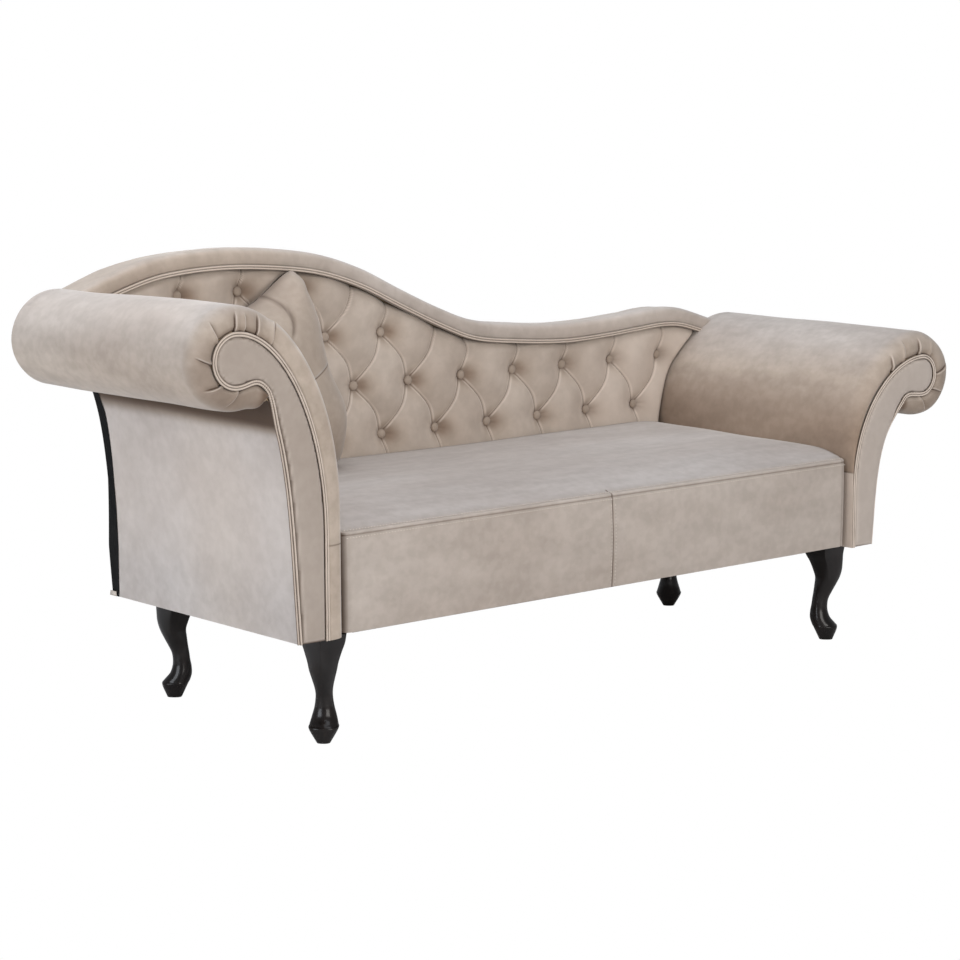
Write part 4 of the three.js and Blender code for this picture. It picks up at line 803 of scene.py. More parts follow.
def filled(outline, pitch):
    """Points on a lattice inside a closed outline, joined with it into triangles."""
    low, high = outline.min(0), outline.max(0)
    across, up = (np.arange(low[i], high[i], pitch) for i in (0, 1))
    lattice = np.stack(np.meshgrid(across, up), -1).reshape(-1, 2)
    closed = np.concatenate([outline, outline[:1]])
    lattice = lattice[polyline_distance(lattice, closed) > pitch * 0.5]
    points = [Vector(p) for p in np.concatenate([outline, lattice])]
    ring = [list(range(len(outline)))]
    made = delaunay_2d_cdt(points, [], ring, 1, 1e-4)
    return np.array([list(p) for p in made[0]]), made[2]


def face_surface(arm):
    """The facing's points, triangles and shades. It lies back at its edge, is painted dark there as shade
    and has a painted highlight just inside. The low arm's is painted hardly darker along its outer side."""
    outline = facing_outline(arm, FACE_INSET, arm["face_inset"])
    flat, triangles = filled(outline, FACE_PITCH)
    edge = polyline_distance(flat, np.concatenate([outline, outline[:1]]))
    outer_side = polyline_distance(flat, outer_line(arm, 60)) < 12
    rough = ripple(flat[:, 0] / 30, flat[:, 1] / 60, 9, 1.0) * 0.3
    depth = FACE_SINK - FACE_SWELL * (1 - np.exp(-edge / 4.0)) + rough
    fold = np.where(outer_side, arm["face_side"], 1.0) * bell(edge, 0, 2.2) + arm["face_dark"]
    rim = 0.30 * bell(edge, 5.5, 1.6) + arm["face_rim"]
    shades = dict(fold=np.clip(fold, 0, 1), nap=arm["face_nap"], rim=rim)
    return arm_space(arm, flat, depth), triangles, shades


for arm in (LEFT, RIGHT):
    points, triangles, shades = face_surface(arm)
    facing = add_piece(arm["name"] + "_face", points, triangles, VELVET_TRIM,
                       replaced=(arm["name"] + "_facing",), turn=True, **shades)
    print(facing.name, len(points), "points")

# %% [markdown]
# Two cords lie side by side round each facing. Each is a thin rope in a strip of the same velvet.
# Where the strip turns sharply into the throat it is pushed into small gathers. They could be
# ridges in the facing, but real tubes keep a dark line between them.

# %% Double cords of the arms
CORD = 2.35
CORD_SIDES = 10
CORD_DEPTH = -2.2
CORD_INSET = 2.5
# Inset and depth of each strand down the arm's outer side.
OUTER_STRAND, INNER_STRAND = (-1.2, 3.2), (1.5, -1.0)
LEFT.update(cord_back=0.0, cord_light=CORD_LIGHT)
RIGHT.update(cord_back=3.5, cord_light=0.85)


def cord_path(arm, inset, outer_inset, outer_depth):
    """A strand's path round the facing at an inset, and its swellings where it is gathered. Down the
    arm's outer side it has an inset and a depth of its own."""
    line = facing_outline(arm, inset, outer_inset + 0.2 * arm["cord_back"])
    run = lengths_along(line)
    at = np.linspace(0, 1, 900) * run[-1]
    line = np.stack([np.interp(at, run, line[:, i]) for i in (0, 1)], -1)
    past = at - (run[-1] - (throat(arm)[1] - UNDERSIDE) - 20)
    depth = CORD_DEPTH + (outer_depth + arm["cord_back"] - CORD_DEPTH) * smooth_share(past / 90)
    near = bell(np.linalg.norm(line - throat(arm), axis=1), 0, 30)[:, None]
    angle = np.linspace(0, 2 * np.pi, CORD_SIDES, endpoint=False)[None, :]
    gathers = near * 0.45 * np.sin(at[:, None] / 0.75)
    return arm_space(arm, line, depth), gathers + 0.1 * ripple(at[:, None] / 9, angle, 21, 1.0)


for arm in (LEFT, RIGHT):
    paths, wobbles = zip(cord_path(arm, CORD_INSET, *OUTER_STRAND),
                         cord_path(arm, CORD_INSET + 2 * CORD, *INNER_STRAND))
    cord = tube_piece(arm["name"] + "_double_cord", paths, CORD, CORD_SIDES, VELVET_TRIM, wobbles,
                      light=arm["cord_light"], replaced=(arm["name"] + "_welt",), slot="velvet_trim",
                      turn=True)
    print(cord.name, round(lengths_along(paths[0])[-1]), "mm round")

# %% [markdown]
# The back is a board on posts, padded and drawn in with buttons on a lattice of diamonds. Cloth
# between the buttons stands in pillows, and every line between two buttons is a deep narrow fold.
# A simulation could find this shape, but the product of one rounded wall per fold gives the same
# pillows where the photograph has them. The velvet's wave lies up to 7.5 mm under the
# frame's at its two ends and on its fall, as the photograph has it there.

# %% Wave, buttons and folds
CREST = 561.0
PAD_FOOT = 402.0
PAD_DROP = 42.3
BACK_FOOT, BACK_RISE = 392, 484
BUTTON_GAP, BUTTON_SIDE_GAP = 66, 24
PITCH, ROW = 145.3, 106.6
FIRST_COLUMN, FIRST_ROW = -130.4, 467.0
# Knots of the wave: shares of the seat's length and of the back's rise.
WAVE = np.array([
    (-0.71, 0.785), (-0.638, 0.865), (-0.571, 0.934), (-0.503, 0.981), (-0.398, 0.999), (-0.291, 0.980),
    (-0.217, 0.947), (-0.142, 0.879), (-0.065, 0.779), (0.015, 0.680), (0.075, 0.619), (0.15, 0.589),
    (0.266, 0.566), (0.354, 0.573), (0.43, 0.588), (0.489, 0.598), (0.536, 0.585), (0.631, 0.503),
    (0.7, 0.449)])
BACK_LEFT, BACK_RIGHT = -869.5, 861.5


def wave(x):
    """Height of the back's top edge: a smooth curve through the knots, with each knot's slope taken
    from its two neighbours."""
    kx, kz = WAVE[:, 0] * 2 * HALF_SEAT, BACK_FOOT + WAVE[:, 1] * BACK_RISE
    slope = np.gradient(kz, kx)
    slope[1:-1] = (kz[2:] - kz[:-2]) / (kx[2:] - kx[:-2])
    x = np.asarray(x, dtype=float)
    k = np.clip(np.searchsorted(kx, x) - 1, 0, len(kx) - 2)
    span = kx[k + 1] - kx[k]
    return curve_through(kz, (x - kx[k]) / span, k, slope, span)


def button_places():
    """Lattice points that are inside the pad, clear of its edge."""
    places = []
    for row in range(6):
        z = FIRST_ROW + row * ROW
        for column in range(-8, 9):
            x = FIRST_COLUMN + (row % 2) * PITCH / 2 + column * PITCH
            left = -HALF_SEAT - slope_out(LEFT, z) + BUTTON_SIDE_GAP
            right = HALF_SEAT + slope_out(RIGHT, z) - BUTTON_SIDE_GAP
            if left < x < right and z < wave(x) - BUTTON_GAP:
                places.append((x, z))
    return np.array(places)


BUTTONS = button_places()


def fold_lines():
    """Folds from each button towards its upper neighbours, or straight up where both are missing,
    and straight down from the lowest row."""
    lines = []
    for x, z in BUTTONS:
        upper = [(x + side * PITCH / 2, z + ROW) for side in (-1, 1)]
        missing = [np.hypot(*(BUTTONS - place).T).min() > 5 for place in upper]
        if all(missing):
            lines.append((x, z, x, float(wave(x))))
        else:
            lines += [(x, z, *place) for place in upper]
        if z < FIRST_ROW + 5:
            lines.append((x, z, x, PAD_FOOT - 40))
    return np.array(lines)


FOLDS = fold_lines()
print(len(BUTTONS), "buttons,", len(FOLDS), "folds")

# %% [markdown]
# The pad's cloth is tight over its filling, so a pillow rises steeply beside a fold and is nearly
# flat in its middle. The side of a button that the light leaves is brown, the other glows.

# %% Buttoned pad
FOLD_DEPTH = 21.0
FOLD_BLUNT = 1.5
WALL = 78.0
BOW = 13.0
BUTTON_SINK, TOP_SINK, SIDE_SINK = 6.5, 9, 8


def pad_grid(columns, rows):
    """Places over the pad's outline, found in rounds because its sides depend on the height and its
    top on the place along the back. Gives also the gaps to the sides and to the top."""
    u = np.linspace(0, 1, columns)[None, :]
    v = np.linspace(0, 1, rows)[:, None]
    z = PAD_FOOT + v * 300 + 0 * u
    for _ in range(14):
        left = np.maximum(-HALF_SEAT - slope_out(LEFT, z) + 1, BACK_LEFT)
        right = np.minimum(HALF_SEAT + slope_out(RIGHT, z) - 1 - SLEEVE, BACK_RIGHT)
        x = left + u * (right - left)
        z = PAD_FOOT + v * (wave(x) - PAD_DROP - PAD_FOOT)
    return x, z, np.minimum(x - left, right - x), wave(x) - PAD_DROP - z


def pillows(x, z):
    """The height of a pillow is the product, over all the creases, of a quarter circle in the distance to
    each crease. The creases bow sideways between the rows. Gives also the distance to the nearest crease."""
    bowed = x - BOW * np.sin(np.pi * (z - FIRST_ROW) / ROW) ** 2
    height = np.ones_like(x)
    nearest = np.full_like(x, 1e9)
    for x0, z0, x1, z1 in FOLDS:
        dx, dz = x1 - x0, z1 - z0
        t = np.clip(((bowed - x0) * dx + (z - z0) * dz) / (dx * dx + dz * dz), 0, 1)
        gap = np.hypot(bowed - x0 - t * dx, z - z0 - t * dz)
        nearest = np.minimum(nearest, gap)
        blunt = np.sqrt(gap**2 + FOLD_BLUNT**2) - FOLD_BLUNT
        height *= np.sqrt(1 - (1 - np.clip(blunt / WALL, 0, 1)) ** 2)
    return height, nearest


def button_marks(x, z):
    """Round every button: the distance to the nearest, small gathers like spokes, the shadow on its
    right and the glow on its left."""
    button = np.full_like(x, 1e9)
    spokes, shadow, glow = (np.zeros_like(x) for _ in range(3))
    for i, (bx, bz) in enumerate(BUTTONS):
        gap = np.hypot(x - bx, z - bz)
        button = np.minimum(button, gap)
        spokes += np.sin(np.arctan2(z - bz, x - bx) * 11 + i) * bell(gap, 15, 13)
        shadow = np.maximum(shadow, bell(x, bx + 22, 22) * bell(z, bz - 2, 24))
        glow = np.maximum(glow, bell(x, bx - 18, 9) * bell(z, bz, 18))
    return button, spokes, shadow, glow


def pad_surface(columns, rows):
    """The pad's face: sunk in its creases, at its buttons and along its edges, and painted dark there as
    shade. It is painted brown as shade round and to the right of each button, painted light to its left and
    just beside each crease, and painted paler towards the low end, where more light falls."""
    x, z, side_gap, top = pad_grid(columns, rows)
    height, nearest = pillows(x, z)
    button, spokes, shadow, glow = button_marks(x, z)
    edge = np.clip(1 - top / 22, 0, 1)
    sink = FOLD_DEPTH * (1 - height) + BUTTON_SINK * bell(button, 0, 17) + 0.45 * spokes
    sink += TOP_SINK * edge**2 + SIDE_SINK * np.exp(-side_gap / 6)
    sink += ripple(x / 60, z / 60, 4, 1.0) * 0.7
    fold = 0.5 * bell(nearest, 0, 1.3) + 0.5 * bell(button, 0, 14) + 0.25 * edge**3
    fold = fold + 0.95 * bell(side_gap, 0, 5) + 0.06 * shadow
    hollow = 0.35 * bell(button, 14, 12) + (0.85 - 0.3 * smooth_share(x / 400)) * shadow
    nap = 0.12 - hollow + 0.2 * bell(nearest, 4.4, 1.7)
    rim = 0.65 * bell(nearest, 3.3, 1.4) * smooth_share((button - 12) / 8)
    rim = rim + 0.25 * glow + 0.11 + 0.32 * smooth_share((x - 300) / 300)
    return np.stack([x, CREST + sink, z], -1), dict(
        fold=np.clip(fold, 0, 1), nap=np.clip(nap, -1, 1), rim=np.clip(rim, 0, 1))


points, shades = pad_surface(600, 180)
pad = grid_piece("back_tufting", points, VELVET, replaced=("back_buttoned_pad",), **shades)
print("pad", points.shape, "depth", np.round([points[..., 1].min(), points[..., 1].max()], 1))

# %% [markdown]
# A button is a small domed disc covered in the same velvet. Each is pulled in on a cord through
# the board, so it sits in the bottom of its tuft and the cloth rises all round it. A ball would be
# simpler, but each dome leans a little of its own, as sewn buttons do.

# %% Buttons
BUTTON_RADIUS, BUTTON_DOME = 10.2, 4.6
BUTTON_RINGS, BUTTON_SIDES = 9, 24
rings = np.linspace(0, 1, BUTTON_RINGS)[:, None]
around = np.linspace(0, 2 * np.pi, BUTTON_SIDES, endpoint=False)[None, :]
span = BUTTON_RADIUS * np.sin(rings * np.pi / 2) ** 0.8
dome = BUTTON_DOME * np.cos(rings * np.pi / 2) ** 1.1
px, pz = span * np.cos(around), span * np.sin(around)
faces = grid_faces(BUTTON_RINGS + 1, BUTTON_SIDES, closed_columns=True)
# Each button is painted brown and painted darker towards its edge, as shade in its tuft.
darker = np.repeat(0.06 + 0.9 * np.linspace(0, 1, BUTTON_RINGS + 1) ** 3, BUTTON_SIDES)
for i, (bx, bz) in enumerate(BUTTONS):
    lean = random.uniform(-0.12, 0.12, 2)
    face = CREST + FOLD_DEPTH + 2.5 - dome + lean[0] * px + lean[1] * pz
    skirt = np.stack([bx + px[-1], np.full(BUTTON_SIDES, CREST + FOLD_DEPTH + 8), bz + pz[-1]], -1)
    cap = np.concatenate([np.stack([bx + px, face, bz + pz], -1), skirt[None]])
    add_piece(f"button_{i + 1}", cap.reshape(-1, 3), faces, VELVET_TRIM, nap=-0.3, fold=darker, turn=True)
print(len(BUTTONS), "buttons made")

# %% [markdown]
# The back ends in a plain padded roll that follows the wave, with a double cord under it. The roll
# is drawn over the frame's top edge and tacked behind, where the lining covers the tacks. A modifier
# could sweep it along a curve, but one section set under every point of the wave stays upright.

# %% Border roll and cord of the back
FRONT_LIP, FRONT_BEND, REAR_BEND = 561.0, 13, 1.6
along = np.linspace(BACK_LEFT, BACK_RIGHT, 420)
corner = np.linspace(0, np.pi / 2, 14)
# The section goes from the cord over the top and down behind: depths, and drops under the wave.
section = [(570.0, 42.2), (566.0, 36.0), (562.5, 33.2), (559.5, 30.0)]
section += [(FRONT_LIP + FRONT_BEND * (1 - np.cos(a)), FRONT_BEND * (1 - np.sin(a))) for a in corner]
section += [(590.0, 0.2), (612.0, 0.8), (621.0, 1.1), (630.0, 1.4)]
section += [(641.4 + REAR_BEND * np.sin(a), 1.7 + REAR_BEND * (1 - np.cos(a))) for a in corner[::3]]
section += [(643.0, 30.0), (643.0, 43.0)]
section = np.array(section)
depths, drops = section[None, :, 0], section[None, :, 1]
roll = np.stack([
    np.repeat(along[:, None], len(section), 1),
    np.repeat(depths, len(along), 0),
    wave(along)[:, None] - drops,
], -1)
# By place along the back, how far the roll's rear edge lies under the wave.
FALL_AT = (-780, -710, -560, -420, 250, 400, 480, 600, 680, 760, 861)
FALL = (0, 4.0, 4.0, 0, 0, 2.5, 5.5, 6.0, 2.6, 1.0, 2.0)
roll[..., 2] -= np.interp(roll[..., 0], FALL_AT, FALL) * smooth_share((roll[..., 1] - 575) / 50)
puff = ripple(roll[..., 0] / 45, roll[..., 1] / 20, 8, 1.0) * 0.6
roll[..., 2] += puff * (drops < 30)
roll[..., 1] -= 0.5 * puff
# Painted light: the roll is tinted cooler from its high end towards the low end and along its top line, and
# painted lighter round a place on its low side.
low_side = smooth_share((roll[..., 0] + 620) / 500)
top_line = bell(drops, 2, 3) * (depths < 590)
border = grid_piece("back_roll", roll, VELVET, nap=0.45 * low_side + 0.3 * top_line,
                    rim=0.26 * bell(roll[..., 0], 470, 220), replaced=("back_border",))

CORD_DROP, CORD_FRONT = 37.5, 558.4
fine = np.linspace(BACK_LEFT, BACK_RIGHT, 700)
line = np.stack([fine, wave(fine) - CORD_DROP], -1)
strands = [shifted(line, offset) for offset in (-CORD, CORD)]
paths = [np.stack([strand[:, 0], np.full(len(fine), CORD_FRONT), strand[:, 1]], -1) for strand in strands]
tube_piece("back_double_cord", paths, CORD + 0.1, CORD_SIDES, VELVET_TRIM, replaced=("back_welt",),
           slot="velvet_trim", turn=True)
print("roll", roll.shape, "cord", round(lengths_along(paths[0])[-1]), "mm long")

# %% [markdown]
# The seat is a fixed sprung deck. Its cover has a flat front panel in two lengths, joined at the
# middle, and a top that swells up from the front seam. It could be a box with a bevel, but one
# sheet over front and top keeps the swell and the drawn-in seams in one formula.

# %% Seat cover
SEAT_FRONT, SEAM, CROWN, SEAT_FOOT = 10.0, 397.0, 33.0, 210.0
SEAT_DEPTH = 550
SEAT_SIDE = HALF_SEAT - 1.5
JOIN = -6.0
EDGE_ROUND = 5
PANEL_SWELL, END_ROUND, FOOT_IN = 4, 20, 4.5
JOIN_DEPTH, END_SEAM_DEPTH, SEAM_DEPTH = 2.6, 1.4, 1.6


def seat_grid():
    """Places along the seat, heights of the front and distances back from it: up the panel, over a
    small rounded edge and back over the top, with close rows and columns at the seams."""
    x = np.concatenate([np.linspace(-SEAT_SIDE, JOIN - 12, 210, endpoint=False),
                        np.linspace(JOIN - 12, JOIN + 12, 25, endpoint=False),
                        np.linspace(JOIN + 12, SEAT_SIDE, 200)])[None, :]
    panel = np.concatenate([np.linspace(SEAT_FOOT, SEAM - 16, 34, endpoint=False),
                            np.linspace(SEAM - 16, SEAM - EDGE_ROUND, 12, endpoint=False)])
    bend = np.linspace(0, np.pi / 2, 9)
    top = np.concatenate([np.linspace(EDGE_ROUND, 18, 12), np.linspace(20, SEAT_DEPTH, 114)])
    z = np.concatenate([panel, SEAM - EDGE_ROUND + EDGE_ROUND * np.sin(bend), np.full(len(top), SEAM)])
    back = np.concatenate([np.zeros(len(panel)), EDGE_ROUND * (1 - np.cos(bend)), top])
    return x, z[:, None], back[:, None]


def crown_rise(end, back):
    """The lower of a rise from the front and a rise from each end, both parabolas, joined smoothly."""
    rise_front = 1 - np.clip(1 - back / 242, 0, 1) ** 2
    rise_end = 0.55 + 0.45 * (1 - np.clip(1 - end / 130, 0, 1) ** 2)
    both = -0.05 * np.log(np.exp(-rise_front / 0.05) + np.exp(-rise_end / 0.05))
    return CROWN * np.clip(both, 0, 1) * smooth_share(back / 24)


def seat_surface():
    """The front panel swells a little, turns in at its ends and at its left foot, and is drawn in at the
    join and the seams. The top rises in its crown. It is painted dark in the seams, at its ends and along
    its rear edge, as shade, and painted cooler and greyer on top, where the overhead light falls."""
    x, z_front, back = seat_grid()
    end = SEAT_SIDE - np.abs(x)
    held = np.clip((z_front - SEAT_FOOT) / (SEAM - SEAT_FOOT), 0, 1)
    wide = np.sin(np.pi * (x / SEAT_SIDE + 1) / 2)
    swell = PANEL_SWELL * np.sin(np.pi * held) * np.abs(wide) ** 0.4 * (back == 0)
    curve = np.clip(1 - end / END_ROUND, 0, 1)
    corner = END_ROUND * (1 - np.sqrt(1 - curve**2)) * np.clip(1 - back / 60, 0, 1)
    away = FOOT_IN * (1 - held) * np.exp(-end / 25) * (x < 0)
    groove = JOIN_DEPTH * bell(x, JOIN, 1.8) * (back < 20)
    groove = groove + END_SEAM_DEPTH * bell(end, 17, 1.5) * (back < 6)
    seam_line = SEAM_DEPTH * bell(z_front, SEAM - 6, 1.5) * (back < 3)
    soft = smooth_share(back / 60)
    waves = ripple(x / 70, back / 36, 14, 1.0) * 1.1 + ripple(x / 200, back / 90, 15, 1.0) * 1.3
    z = z_front + crown_rise(end, back) + soft * waves
    y = SEAT_FRONT + back - swell + corner + groove + seam_line
    y = y + (1 - soft) * ripple(x / 90, z_front / 60, 16, 1.0) * 0.6
    fold = 0.7 * np.clip(groove / 2.2, 0, 1) ** 2 + 0.4 * np.clip(seam_line / SEAM_DEPTH, 0, 1)
    fold = fold + np.clip(1 - end / 14, 0, 1) * (back < 3) + 0.7 * np.exp(-end / 5) * (back > 3)
    on_top = smooth_share((back - 2) / 20)
    fold = fold + 0.7 * np.exp(-(SEAT_DEPTH - back) / 5)
    fold = fold + 0.13 * on_top + 0.12 * bell(back, 8, 9) + 0.05 * np.exp(-back / 150)
    points = np.stack([x + away + 0 * z, y + 0 * z, z], -1)
    return points, dict(fold=np.clip(fold, 0, 1), nap=0.4 + 0.5 * on_top + 0 * x)


points, shades = seat_surface()
seat = grid_piece("seat_velvet", points, VELVET_SEAT, replaced=("seat_cover",), **shades)
print("seat", points.shape, "top", round(points[..., 2].max(), 1))

# %% [markdown]
# The seams are topstitched with a thread a little lighter than the cloth. A picture of stitches on
# the cloth would be lighter to draw, but these stand up from it and catch the light.

# %% Topstitching
STITCH, STITCH_PITCH, THREAD_RADIUS = 4.8, 7.0, 0.85
STITCH_TAPER = np.array([0.3, 0.9, 1, 0.9, 0.3])
THREAD_SIDES = 6


def stitches(name, path, up):
    """Short rounded threads along a path, each a small tube that sinks at its ends."""
    run, steps, up = lengths_along(path), len(STITCH_TAPER), np.asarray(up)
    quads = grid_faces(steps, THREAD_SIDES, closed_columns=True)
    points, faces = [], []
    for start in np.arange(STITCH_PITCH / 2, run[-1] - STITCH, STITCH_PITCH):
        at = start + np.linspace(0, 1, steps) * STITCH
        line = np.stack([np.interp(at, run, path[:, i]) for i in range(3)], -1)
        line += up * (0.5 * np.sin(np.linspace(0, np.pi, steps)))[:, None]
        along = line[-1] - line[0]
        side = np.cross(along / np.linalg.norm(along), up)
        angle = np.linspace(0, 2 * np.pi, THREAD_SIDES, endpoint=False)[None, :, None]
        size = THREAD_RADIUS * STITCH_TAPER[:, None, None]
        ring = line[:, None, :] + size * (side * np.cos(angle) + up * np.sin(angle))
        faces.append(quads + len(points) * steps * THREAD_SIDES)
        points.append(ring.reshape(-1, 3))
    add_piece(name, np.concatenate(points), np.concatenate(faces), THREAD, slot="velvet_trim", turn=True)
    print(name, len(points), "stitches")


xs = np.linspace(-SEAT_SIDE + 6, SEAT_SIDE - 6, 300)
stitches("stitch_front_low", np.stack([xs, 0 * xs + SEAT_FRONT - 0.7, 0 * xs + SEAM - 11], -1), (0, -1, 0))
stitches("stitch_front_high", np.stack([xs, 0 * xs + SEAT_FRONT + 8, 0 * xs + SEAM + 1.4], -1),
         (0, -0.35, 0.94))
zs = np.linspace(SEAT_FOOT + 4, SEAM - 14, 60)
ys = SEAT_FRONT - PANEL_SWELL * np.sin(np.pi * (zs - SEAT_FOOT) / (SEAM - SEAT_FOOT)) - 0.4
for i, offset in enumerate((-5.5, 5.5)):
    stitches(f"stitch_join_{i + 1}", np.stack([0 * zs + JOIN + offset, ys, zs], -1), (0, -1, 0))

# %% [markdown]
# One loose cushion stands on the seat, leaning back on the buttons beside the high arm. It is a
# square bag, so its corners stay thin and stand out as ears while its middle fills. A simulation
# could blow it up, but then its two pillows wouldn't lie where the photograph has them.

# %% Loose cushion
CORNERS = np.array([(-640.5, 500, 430.5), (-290.5, 518, 430.5), (-765.5, 526, 787.5), (-385.5, 544, 829)])
CUSHION_SEAM = 0.535
CUSHION_RISE = 388
CUSHION_FRONT, CUSHION_REAR, CUSHION_EDGE = 112, 33, 1.5
TOP_SAG, EAR = 62, 0.17
# The right side's lower pillow, upper pillow and top corner: how far each stands out, where up the
# side it lies, and how wide it is.
PILLOWS = ((23, 0.31, 0.15), (10, 0.78, 0.22), (12, 0.96, 0.045))


def cushion_surface(side, count):
    """A sheet laid between four corners, its top edge sunk and its right side in two pillows above
    and below a seam, pushed out to one side by a crown that is full in the middle. Its corners are
    blunt, and a crease runs down from the top edge."""
    share = (1 - np.cos(np.linspace(0, np.pi, count))) / 2
    rows = np.sort(np.concatenate([share, CUSHION_SEAM + np.linspace(-0.02, 0.02, 17)]))
    u, v = share[None, :], rows[:, None]
    a, b = 2 * u - 1, 2 * v - 1
    low = CORNERS[0] * (1 - u)[..., None] + CORNERS[1] * u[..., None]
    high = CORNERS[2] * (1 - u)[..., None] + CORNERS[3] * u[..., None]
    at = low * (1 - v)[..., None] + high * v[..., None]
    at[..., 2] -= TOP_SAG * (1 - np.exp(-(((1 - np.abs(a)) / 0.45) ** 2.2))) * v
    at[..., 0] -= 4 * (1 - b * b) * a
    at[..., 0] += sum(out * bell(v, place, width) for out, place, width in PILLOWS) * u * u
    crown = ((1 - a**4) * (1 - b**4)) ** 0.5
    swell = CUSHION_EDGE + ((CUSHION_FRONT if side < 0 else CUSHION_REAR) - CUSHION_EDGE) * crown
    x, z = at[..., 0], at[..., 2]
    crease = bell(x + 0.01 * (z - 740) ** 2, -455, 4.5) * smooth_share((z - 690) / 30)
    crease = crease * smooth_share((795 - z) / 20)
    off = (v - CUSHION_SEAM) * CUSHION_RISE - 3 * a
    seam = bell(off, 0, 1.5) * (side < 0)
    ear = np.hypot((1 - np.abs(a)), (1 - np.abs(b)))
    at[..., 0] -= 10 * a * bell(ear, 0, EAR)
    at[..., 2] -= 4 * b * bell(ear, 0, EAR) * (b > 0)
    pucker = ripple(12 * a + 0 * b, 12 * b + 0 * a, 31, 1.0) * 2.0 * bell(ear, 0, 0.35)
    sag = ripple(3 * a + 0 * b, 3 * b + 0 * a, 32, 1.0) * 2.2 * crown
    at[..., 1] += side * (swell + sag + pucker - 5 * crease - 2.2 * seam * crown)
    edge = np.exp(-(1 - np.maximum(np.abs(a), np.abs(b))) / 0.01)
    # Painted shade in the crease, in the seam and along the edges, a little painted shade all over, and a
    # painted highlight just beside the seam on the front.
    fold = np.clip(0.2 + 0.5 * crease + 0.5 * seam + 0.4 * edge, 0, 1)
    nap = -0.05 + 0.8 * bell(off, 4, 1.6) * (side < 0) + 0 * z
    return at, fold, nap


sheets = [cushion_surface(side, 120) for side in (-1, 1)]
rows, columns = sheets[0][1].shape
quads = grid_faces(rows, columns)
faces = np.concatenate([quads, quads[:, ::-1] + rows * columns])
points, fold, nap = (np.concatenate([np.reshape(sheet[i], (rows * columns, -1)) for sheet in sheets])
                     for i in range(3))
cushion = add_piece("cushion_velvet", points, faces, VELVET, replaced=("scatter_cushion",), fold=fold,
                    nap=nap)
print("cushion", np.round(points.min(0)), np.round(points.max(0)))

# %% [markdown]
# The legs are bent, cut from a square block and sanded round, with a flattened toe. They could be
# turned, but a turned leg has no knee, so each is lofted through rings along a bent line.

# %% Legs
# Each ring has its height, outer and inner reach and half width as shares, and its roundness: two
# is a circle, near one a square that stands square to the couch.
LEG_RINGS = np.array([
    (1, 1, -1, 1, 1.08), (0.91, 0.93, -0.92, 0.93, 1.1), (0.83, 0.91, -0.71, 0.8, 1.2),
    (0.74, 0.88, -0.54, 0.67, 1.4), (0.66, 0.775, -0.43, 0.59, 1.6), (0.58, 0.59, -0.456, 0.49, 1.9),
    (0.5, 0.39, -0.5, 0.4, 2), (0.43, 0.24, -0.55, 0.365, 2), (0.36, 0.196, -0.59, 0.39, 2),
    (0.3, 0.22, -0.64, 0.44, 2), (0.23, 0.34, -0.65, 0.53, 2), (0.165, 0.6, -0.56, 0.61, 2.3),
    (0.125, 0.684, -0.46, 0.62, 2.6), (0, 0.47, -0.18, 0.29, 2.6)])
LEG_BLOCK = 62
LEG_ROWS, LEG_SIDES = 90, 48
LEGS = {
    "front_left_leg": (-1, -1, -685.0, 63.0), "front_right_leg": (1, -1, 669.5, 63.0),
    "rear_left_leg": (-1, 1, -685.0, 538.0), "rear_right_leg": (1, 1, 669.5, 538.0)}


def smooth_rows(rows, count):
    """Rows laid on a smooth curve through the given ones, each slope taken from the neighbours."""
    at = np.linspace(0, len(rows) - 1, count)
    k = np.clip(at.astype(int), 0, len(rows) - 2)
    return curve_through(rows, (at - k)[:, None], k, np.gradient(rows, axis=0))


def leg_surface(side, depth_side, x, y):
    """Rings between a circle and a square, laid along the leg's bend, which points out and away."""
    rows = smooth_rows(LEG_RINGS, LEG_ROWS)
    share, outer, inner, half, square = (rows[:, i:i + 1] for i in range(5))
    unit = LEG_BLOCK / math.sqrt(2)
    angle = np.linspace(0, 2 * np.pi, LEG_SIDES, endpoint=False)[None, :]
    c, s = np.cos(angle), np.sin(angle)
    along = ((outer + inner) / 2 + (outer - inner) / 2 * np.sign(c) * np.abs(c) ** (2 / square)) * unit
    across = half * unit * np.sign(s) * np.abs(s) ** (2 / square)
    return np.stack([x + side * (along - across) / math.sqrt(2),
                     y + depth_side * (along + across) / math.sqrt(2),
                     share * (UNDERSIDE - 0.3) + 0 * angle], -1)


faces = [list(q) for q in grid_faces(LEG_ROWS, LEG_SIDES, closed_columns=True)]
faces += [list(range(LEG_SIDES)), list(range((LEG_ROWS - 1) * LEG_SIDES, LEG_ROWS * LEG_SIDES))]
for name, place in LEGS.items():
    add_piece(name + "_turned", leg_surface(*place).reshape(-1, 3), faces, LEG, replaced=(name,),
              slot="leg_wood", turn=True)
print(len(LEGS), "legs of", len(faces), "faces")

# %% [markdown]
# The rear is closed with a sheet of black lining, which also wraps the ends of the back unit up to
# the scrolls. Above it the velvet of the roll is drawn down over each end, as a flat cap. Cap and
# lining could be one sheet with two finishes, but as two sheets they meet at a crisp edge.

# %% Lining and velvet on the ends of the back
LEFT.update(end=BACK_LEFT, end_foot=28, end_throat=44)
RIGHT.update(end=BACK_RIGHT, end_foot=12, end_throat=12)
BACK_REAR = 645
CAP_DEPTHS = np.array([584.0, 600.0, 620.0, 640.0, 643.6, 644.6, 644.6, 644.6])
CAP_TUCK = np.array([0, 0, 0, 0, 0, 1.5, 8.0, 22.0])
CAP_ROWS = 12


